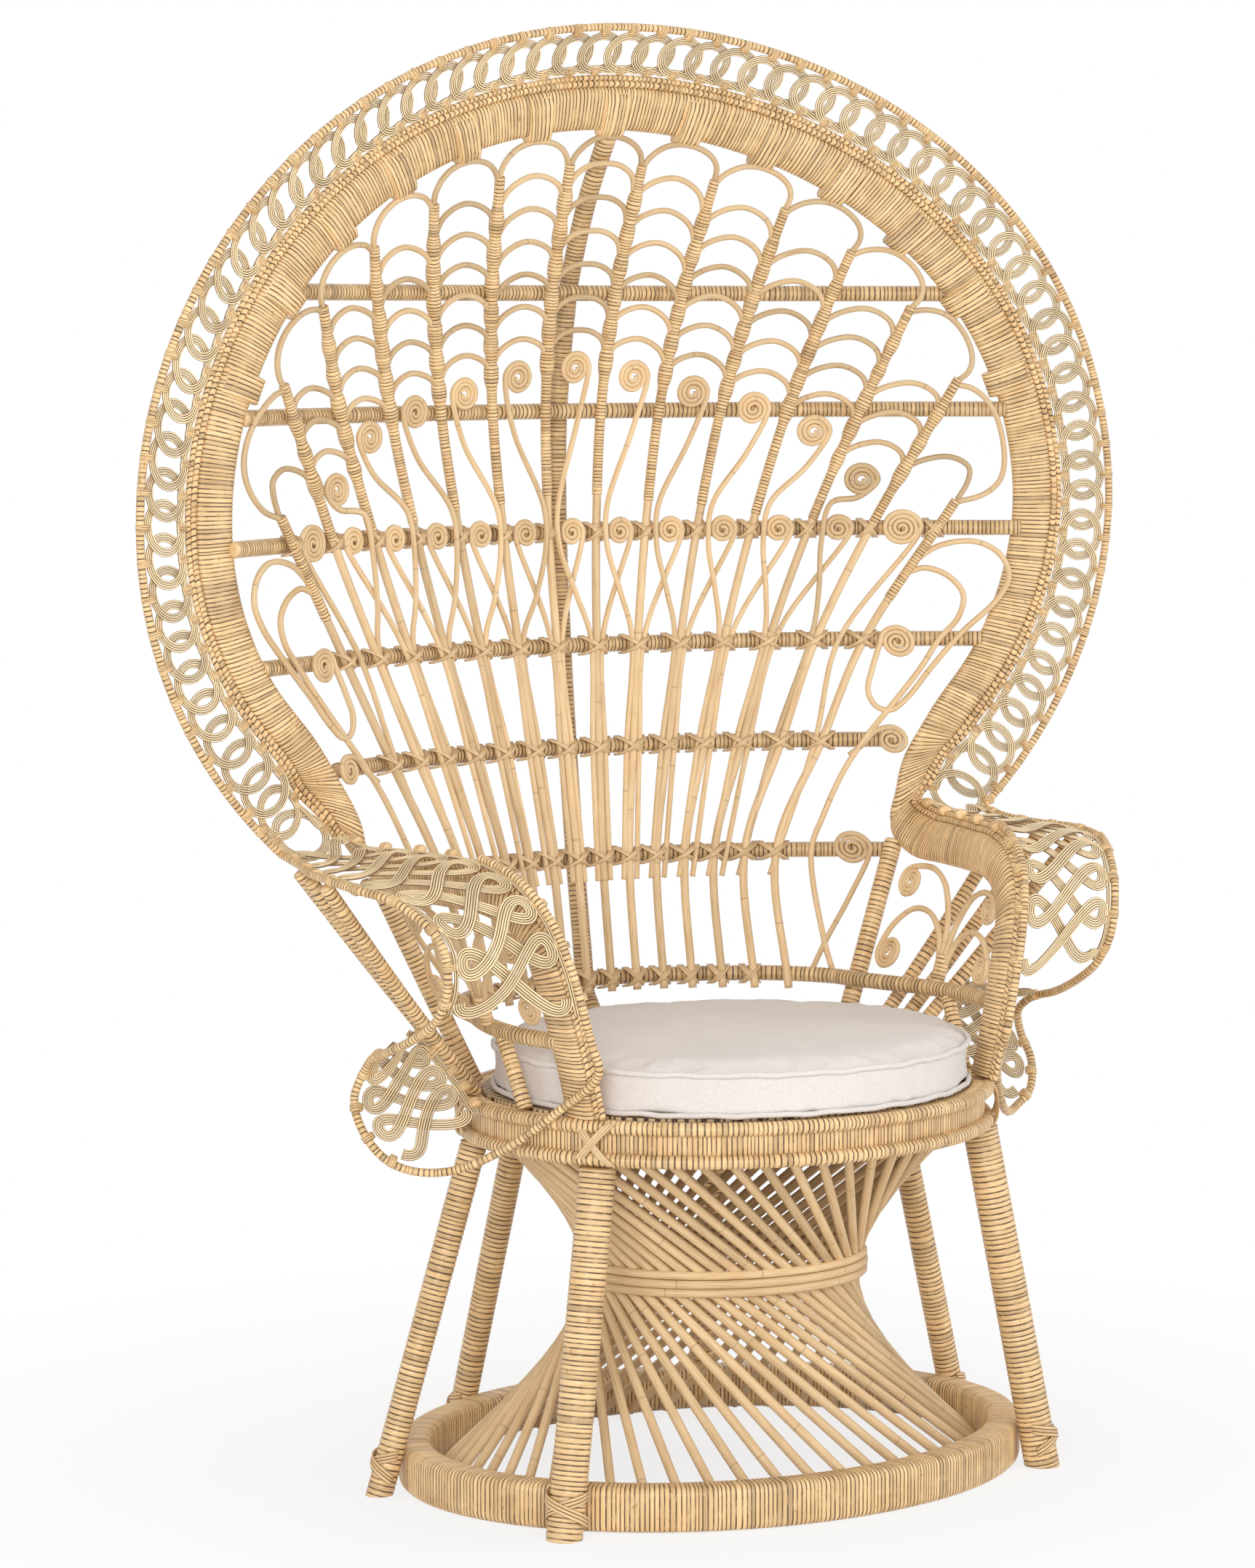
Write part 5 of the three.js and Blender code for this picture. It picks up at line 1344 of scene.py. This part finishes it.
def make_arches():
    parts = []
    for side in (-1, 1):
        for column in range(RIB_COUNT):
            if column == 0 and side < 0:
                continue
            for crown in arch_crowns(column):
                parts.append(cane(flip(arch_line(column, crown), side), ARCH_R, 7))
        for column in range(1, RIB_COUNT):
            parts.append(cane(flip(spline(crown_arch(column), 5), side), ARCH_R, 7))
    parts.append(cane(spline(crown_arch(0), 5), ARCH_R, 7))
    add_piece("fan_arches", parts, finish("arch"), "rattan_cane")


def make_collars():
    """Wrapped collars where the crowns of the top arches touch the band."""
    parts = []
    along, inner = arc(BAND_CENTRE), BAND[:, :3]
    for side in (-1, 1):
        for column in range(RIB_COUNT):
            if column == 0 and side < 0:
                continue
            z = meet_height(column, 0)
            target = np.array([side * rib_x(column, z), FAN_SIDE_Y, z])
            k = int(np.argmin(np.linalg.norm((inner - target)[:, [0, 2]], axis=1)))
            row = pick(np.linspace(along[k] - COLLAR_HALF, along[k] + COLLAR_HALF, 9), along, BAND)
            a, b = row[:, :3], row[:, 3:]
            t = unit(np.gradient((a + b) / 2, axis=0))
            across = unit(b - a)
            face = unit(np.cross(t, across))
            a, b = a - across * 9, b - (b - a) * 0.06
            places, v, depth = strands(2 * COLLAR_HALF, 4.4, 0.8)
            share = places / (2 * COLLAR_HALF) * 8
            a, b, face, across = (pick(share, np.arange(9), x) for x in (a, b, face, across))
            depth = depth[:, None]
            rings = [
                a + (b - a) * q + across * depth * (1 - 2 * q) + face * h * (BAND_THICK / 2 + 3.2 - depth)
                for q, h in BAND_SECTION
            ]
            parts.append(skin(np.stack(rings, 1), v, False, rng.random()))
    add_piece("band_collars", parts, finish("wrapped"), "wrapped_rattan")


def make_rail_lashings():
    parts = []
    for side in (-1, 1):
        for place in range(1, RIB_COUNT + 1):
            u = place - 0.5
            for i, z in enumerate([HORSESHOE_Z, *RAILS[:1:-1]]):
                x = float(rib_x(u, z))
                if i == 0 and x > HORSESHOE_BEND or x > rail_end(z) - 10:
                    continue
                centre = on_shell(x, z, RAIL_R)
                ahead = on_shell(x + 1, z, RAIL_R) - on_shell(x - 1, z, RAIL_R)
                normal = unit(np.cross([0, 0, 1], ahead))
                normal = normal if normal[1] < 0 else -normal
                wide = 15 if 0 < i < 4 else 9
                parts += lashing(flip(centre, side), flip(normal, side), (0, 0, 1), wide, 10,
                                 2 * RIB_R + 1.6, 5, 1.25)
    add_piece("rib_lashings", parts, finish("strap"), "rattan_cane")


def make_side_loops():
    """Loops beside the last ribs, by places as shares of the fan's half width and middle height."""
    shares = [
        (0.49, 0.488), (0.495, 0.525), (0.507, 0.619), (0.543, 0.659), (0.594, 0.705), (0.647, 0.741),
        (0.711, 0.778), (0.776, 0.816), (0.827, 0.85), (0.865, 0.873), (0.877, 0.898), (0.851, 0.918),
        (0.804, 0.928), (0.762, 0.922),
    ]
    tails = [
        ([(0.772, 0.931), (0.83, 0.952), (0.905, 0.957), (0.952, 0.942), (0.966, 0.918), (0.94, 0.892),
          (0.87, 0.856), (0.796, 0.816), (0.744, 0.786), (0.707, 0.772), (0.678, 0.776), (0.666, 0.793),
          (0.68, 0.816)], (0.74, 0.846), UPPER_SCROLL_R, -1),
        ([(0.61, 0.723), (0.64, 0.734), (0.67, 0.749)], (0.7, 0.739), SCROLL_R, 0),
        ([(0.447, 0.488), (0.499, 0.525), (0.561, 0.568)], (0.588, 0.622), UPPER_SCROLL_R, 1),
    ]

    def spot(p):
        return on_shell(p[0] * INNER["width"], p[1] * FAN_Z, NEAR_LIFT)

    for side, name in SIDES:
        parts = [cane(flip(spline([spot(p) for p in shares], 4), side), SIDE_R, 7)]
        for path, (x, z), radius, start in tails:
            turns = shell_coil(x * INNER["width"], z * FAN_Z, radius, start, NEAR_LIFT)
            parts.append(wound(flip([spot(p) for p in path], side), flip(turns, side), SIDE_R))
        add_piece(f"side_loop_{name}_canes", parts, finish("cane"), "rattan_cane", f"side_loop_{name}")


# Crooks under the arm: line as shares back and up, eye, share of the radius, way and start of the turn
CROOKS = [
    ([(-0.08, 0.232), (0, 0.552), (0.24, 0.84), (0.54, 0.952)], (0.86, 0.816), 1, 1, 0),
    ([(-0.04, 0.2), (0.08, 0.416), (0.34, 0.584), (0.66, 0.6), (0.91, 0.44)], (0.84, 0.224), 1, 1, 0.25),
    ([(-0.12, 0.232), (-0.18, 0.52), (-0.36, 0.76), (-0.58, 0.84)], (-0.8, 0.712), 0.94, -1, 0),
    ([(-0.16, 0.2), (-0.26, 0.376), (-0.48, 0.496), (-0.76, 0.48), (-0.97, 0.352)], (-0.9, 0.224), 0.875, -1,
     0.25),
]
CROOK_REACH, CROOK_RISE, CROOK_R, CROOK_PITCH = 100, 125, 16, 4.4
PANEL_BACK, PANEL_FRONT, PANEL_BULGE = 130, -118, 12


def panel_place(y, z):
    """Places on the bulging panel between neck post and arm, in which the scrolls under the arm lie."""
    y, z = np.broadcast_arrays(np.asarray(y, float), np.asarray(z, float))
    foot_x = post_foot(POST_ANGLE)[0]
    back_x = foot_x + (POST_TOP[0] - foot_x) * (z - SEAT_TOP) / (POST_TOP[2] - SEAT_TOP)
    share = (PANEL_BACK - y) / (PANEL_BACK - PANEL_FRONT)
    x = back_x + (arm_x(PANEL_FRONT, z) - back_x) * share + PANEL_BULGE * np.sin(np.pi * share)
    return np.stack([x, y, z], -1)


def make_arm_scrolls():
    for side, name in SIDES:
        canes, stem = [], []
        foot, top = panel_place(-10, HORSESHOE_Z + 4), panel_place(-10, 517)
        stem.append(wrapped(flip([foot, top], side), 9.5, 4.6, 10, lead=(-side, 0, 0), flat=0.7))
        for path, (ey, ez), curl, way, start in CROOKS:
            radius = curl * CROOK_R
            steps = int(round((radius - EYE_R) / CROOK_PITCH * COIL_STEPS))
            i = np.arange(steps + 1)
            turn = 2 * np.pi * (start + i / COIL_STEPS)
            reach = radius + (EYE_R - radius) * i / steps
            y, z = ey * CROOK_REACH, HORSESHOE_Z + ez * CROOK_RISE
            turns = panel_place(y + way * reach * np.sin(turn), z + reach * np.cos(turn))
            line = [panel_place(a * CROOK_REACH, HORSESHOE_Z + b * CROOK_RISE) for a, b in path]
            canes.append(wound(flip(line, side), flip(turns, side), SIDE_R, lead=(-side, 0, 0)))
        add_piece(f"arm_scroll_{name}_canes", canes, finish("cane"), "rattan_cane", f"arm_scroll_{name}")
        add_piece(f"arm_scroll_{name}_collar", stem, finish("wrapped"), "wrapped_rattan")


# Cushion

# Frames of the filling, and how far it may move a point, in metres
PUFF_FRAMES, PUFF_MOST = 20, 0.010


def cushion_outline(inset, count):
    return oval_place(CUSHION, np.linspace(0, 360, count + 1)[:-1], inset, 0)


def seams(floor, side):
    """Heights of the lower and the upper seam."""
    return floor + 3.4, floor + side - 2.6


def make_cushion():
    side, crown = sizes().cushion_side / MM, sizes().cushion_crown / MM
    floor = SEAT_TOP + 0.8
    bpy.ops.object.select_all(action="DESELECT")
    bpy.ops.mesh.primitive_cylinder_add(vertices=72, radius=1, depth=1, end_fill_type="NGON")
    pad = bpy.context.object
    pad.name = "seat_cushion"
    bpy.ops.object.mode_set(mode="EDIT")
    bpy.ops.mesh.select_all(action="SELECT")
    bpy.ops.mesh.bevel(offset=0.04, segments=2, affect="EDGES")
    bpy.ops.object.mode_set(mode="OBJECT")
    # The blank is a little smaller than the cover, which the filling stretches
    shrink = 2
    for vertex in pad.data.vertices:
        x, y, z = vertex.co
        edge = min(1.0, math.hypot(x, y))
        rise = crown * 0.85 * (1 - edge ** 2.8) if z > 0 else 0
        vertex.co = (
            x * (CUSHION["width"] - shrink) * MM,
            (y * (CUSHION["depth"] - shrink) - CUSHION["offset"] - MIDDLE[1]) * MM,
            (floor + 2 + (z + 0.5) * (side - 3) + rise) * MM,
        )
    pad.data.update()
    bpy.ops.object.select_all(action="DESELECT")
    pad.select_set(True)
    bpy.context.view_layer.objects.active = pad
    remesh = pad.modifiers.new("even_mesh", "REMESH")
    remesh.mode, remesh.voxel_size = "VOXEL", 0.006
    bpy.ops.object.modifier_apply(modifier=remesh.name)
    start = np.array([v.co for v in pad.data.vertices])
    puff(pad, start)
    settle(pad, floor, side, crown)
    smooth = pad.modifiers.new("soft_surface", "SUBSURF")
    smooth.levels = smooth.render_levels = 1
    bpy.ops.object.modifier_apply(modifier=smooth.name)
    bpy.ops.object.shade_smooth()
    dress(pad, finish("cotton"), "cotton_cover", "cushion", body="cushion")
    parts = []
    lap = np.linspace(0, 2 * np.pi, 161)[:-1]
    for z, out in zip(seams(floor, side), (1.2, 1.6)):
        line = cushion_outline(out, 160)
        line[:, 2] = z + 0.5 * (1.1 * np.sin(lap * 23 + z) + 0.8 * np.sin(lap * 41 + 1))
        parts.append(cane(line, 2.8, 8, closed=True, lead=(0, 0, 1), tone=0.5))
    piping = add_piece("cushion_piping", parts, finish("cotton"), "cotton_cover", body="cushion")


def puff(pad, start):
    """Fills the cover with air in a cloth simulation, and keeps every point near its place."""
    cloth = pad.modifiers.new("filling", "CLOTH")
    cloth.settings.use_pressure = True
    cloth.settings.uniform_pressure_force = 4.0
    cloth.settings.effector_weights.gravity = 0.0
    cloth.settings.mass = 0.3
    cloth.settings.quality = 5
    cloth.point_cache.frame_start, cloth.point_cache.frame_end = 1, PUFF_FRAMES
    for frame_number in range(1, PUFF_FRAMES + 1):
        bpy.context.scene.frame_set(frame_number)
    bpy.ops.object.modifier_apply(modifier=cloth.name)
    bpy.context.scene.frame_set(1)
    moved = np.array([v.co for v in pad.data.vertices])
    step = moved - start
    size = np.linalg.norm(step, axis=1, keepdims=True)
    capped = start + step * np.minimum(1, PUFF_MOST / np.maximum(size, 1e-9))
    pad.data.vertices.foreach_set("co", capped.astype(np.float32).ravel())
    pad.data.update()


def settle(pad, floor, side, crown):
    """Rests the cushion flat on the seat, keeps its outline, draws its seams in and puckers its top edge."""
    co = np.array([v.co for v in pad.data.vertices]) / MM + MIDDLE
    width, depth, offset = CUSHION["width"], CUSHION["depth"], CUSHION["offset"]
    x, y, z = co[:, 0], co[:, 1] + offset, co[:, 2]
    turn = np.arctan2(x / width, -y / depth)
    edge = np.hypot(x / width, y / depth)
    heights = np.linspace(floor + 3, floor + side - 2, 7)
    reach = [np.percentile(edge[(np.abs(z - h) < 5) & (edge > 0.75)], 96) for h in heights]
    wanted = np.array([1.0, 0.992, 0.986, 0.984, 0.986, 0.992, 1.0])
    push = 1 + (np.interp(z, heights, wanted / np.array(reach)) - 1) * np.clip((edge - 0.55) / 0.3, 0, 1)
    x, y = x * push, y * push
    edge = np.hypot(x / width, y / depth)
    low, high = seams(floor, side)
    near = np.exp(-((z - low) / 7) ** 2) + np.exp(-((z - high) / 7) ** 2)
    pull = np.clip((edge - 0.9) / 0.08, 0, 1) * near
    scale = 1 - 0.006 * pull
    pucker = (np.sin(turn * 46) + 0.7 * np.sin(turn * 31 + 1.7) + 0.5 * np.sin(turn * 77 + 0.4)) * 0.6
    ring = np.exp(-((edge - 0.93) / 0.05) ** 2) * (z > floor + side * 0.6)
    x, y = x * scale, y * scale
    z = np.maximum(z, floor)
    z = z + ring * pucker
    top = floor + side + crown - 1.5
    z = np.where(z > top - 6, top - 6 + 6 * np.tanh((z - top + 6) / 6), z)
    limit = np.maximum(1, np.hypot(x / (width + 2.5), y / (depth + 2.5)))
    x, y = x / limit, y / limit
    co = (np.stack([x, y - offset, z], -1) - MIDDLE) * MM
    pad.data.vertices.foreach_set("co", co.astype(np.float32).ravel())
    pad.data.update()


# Stage

# Camera by its place in metres, its tilt down and turn in degrees, and its lens in millimetres
CAMERA_PLACE, CAMERA_TILT, CAMERA_TURN, CAMERA_LENS = (-2.647, -4.133 - 0.0223, 1.195), 5.6, 31.6, 109.86
# Softboxes by name, place and size in metres, and power in watts
LAMPS = [
    ("key", (-2.8, -3.6, 1.6), 2.2, 104),
    ("fill", (3.2, -2.6, 1.6), 2.6, 42),
    ("top", (0.2, 0.6, 4.4), 2.6, 20),
]
LAMP_TARGET = (0, 0, 0.8)


def make_stage():
    scene = bpy.context.scene
    bpy.ops.object.select_all(action="DESELECT")
    bpy.ops.mesh.primitive_plane_add(size=1)
    floor = bpy.context.object
    floor.name = "studio_floor"
    for vertex in floor.data.vertices:
        vertex.co = vertex.co * 30
    floor.data.materials.append(stage_finish("studio_paper", linear("#f4f3f1")))
    world = bpy.data.worlds.new("studio_white")
    scene.world = world
    world.use_nodes = True
    tree = world.node_tree
    shade = tree.nodes["Background"]
    shade.inputs["Color"].default_value = WHITE
    shade.inputs["Strength"].default_value = 0.58
    clear = node(tree, "Background", {"Color": WHITE, "Strength": 1.0})
    mixed = node(tree, "MixShader", {0: sees_white(tree), 1: shade.outputs[0], 2: clear})
    tree.links.new(mixed, tree.nodes["World Output"].inputs["Surface"])
    for name, place, size, power in LAMPS:
        data = bpy.data.lights.new(f"{name}_softbox", "AREA")
        data.shape, data.size, data.energy = "DISK", size, power
        lamp = bpy.data.objects.new(f"{name}_softbox", data)
        scene.collection.objects.link(lamp)
        lamp.location = place
        lamp.rotation_euler = (Vector(LAMP_TARGET) - Vector(place)).to_track_quat("-Z", "Y").to_euler()
    data = bpy.data.cameras.new("photo_view")
    data.sensor_width, data.lens = 36, CAMERA_LENS
    camera = bpy.data.objects.new("photo_view", data)
    scene.collection.objects.link(camera)
    camera.location = CAMERA_PLACE
    camera.rotation_euler = (math.radians(90 - CAMERA_TILT), 0, math.radians(-CAMERA_TURN))
    scene.camera = camera
    scene.view_settings.view_transform = "Standard"


# Operators

STEPS = [
    ("base", "Base Ring", "Wraps the oval base ring", make_base),
    ("hourglass", "Hourglass", "Sets the leaning canes of the hourglass and their hoop", make_hourglass),
    ("legs", "Legs", "Wraps the six legs and lashes them", make_legs),
    ("seat_ring", "Seat Ring", "Wraps the seat ring between its two rolls", make_seat_ring),
    ("band", "Fan Band", "Wraps the band that runs over the fan and down both arms", make_band),
    ("trims", "Trims", "Lays two thin wrapped rolls along the band", make_trims),
    ("rims", "Rims", "Wraps the rim of the fan and of both wings", make_rims),
    ("fan_lace", "Fan Lace", "Links the rings of the fan's lace border", make_fan_lace),
    ("wings", "Wing Lace", "Knots the lace of the wings and their lobes", make_wings),
    ("posts", "Posts", "Wraps the neck posts, struts and braces", make_posts),
    ("rails", "Rails", "Wraps the back rails and the seat back rail", make_rails),
    ("spine", "Spine", "Wraps the spine behind the fan", make_spine),
    ("ribs", "Ribs", "Fans out the ribs with their scrolls", make_ribs),
    ("rib_wraps", "Rib Wrapping", "Wraps the upper part of each rib", make_rib_wraps),
    ("arches", "Arches", "Bends the fish-scale arches between the ribs", make_arches),
    ("collars", "Collars", "Wraps the collars where the arches touch the band", make_collars),
    ("lashings", "Lashings", "Ties each rib to the rails", make_rail_lashings),
    ("side_loops", "Side Loops", "Bends the loops beside the ribs", make_side_loops),
    ("arm_scrolls", "Arm Scrolls", "Bends the scrollwork under both arms", make_arm_scrolls),
    ("cushion", "Cushion", "Fills and pipes the loose seat cushion", make_cushion),
    ("stage", "Stage", "Sets the floor, the lights and the camera", make_stage),
]


def operator_for(key, label, doc, build):
    def execute(self, context):
        build()
        return {"FINISHED"}
    return type(f"PEACOCK_OT_{key}", (bpy.types.Operator,), {
        "bl_idname": f"peacock.{key}", "bl_label": label, "__doc__": doc, "execute": execute,
    })


OPERATORS = [operator_for(*step) for step in STEPS]


class PEACOCK_PT_panel(bpy.types.Panel):
    bl_label = "Peacock Chair"
    bl_idname = "PEACOCK_PT_panel"
    bl_space_type = "VIEW_3D"
    bl_region_type = "UI"
    bl_category = "Peacock Chair"

    def draw(self, context):
        for group in (context.scene.peacock_sizes, context.scene.peacock_colours):
            for name in group.__annotations__:
                self.layout.prop(group, name)
        for made in OPERATORS:
            self.layout.operator(made.bl_idname)


CLASSES = [ChairSizes, ChairColours, *OPERATORS, PEACOCK_PT_panel]


def register():
    for made in CLASSES:
        bpy.utils.register_class(made)
    bpy.types.Scene.peacock_sizes = bpy.props.PointerProperty(type=ChairSizes)
    bpy.types.Scene.peacock_colours = bpy.props.PointerProperty(type=ChairColours)


def unregister():
    del bpy.types.Scene.peacock_sizes
    del bpy.types.Scene.peacock_colours
    for made in reversed(CLASSES):
        bpy.utils.unregister_class(made)


def main():
    register()
    for key, *_ in STEPS:
        getattr(bpy.ops.peacock, key)()
    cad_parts["seat_deck"].data.materials.clear()
    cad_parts["seat_deck"].data.materials.append(finish("deck"))


if __name__ == "__main__":
    main()
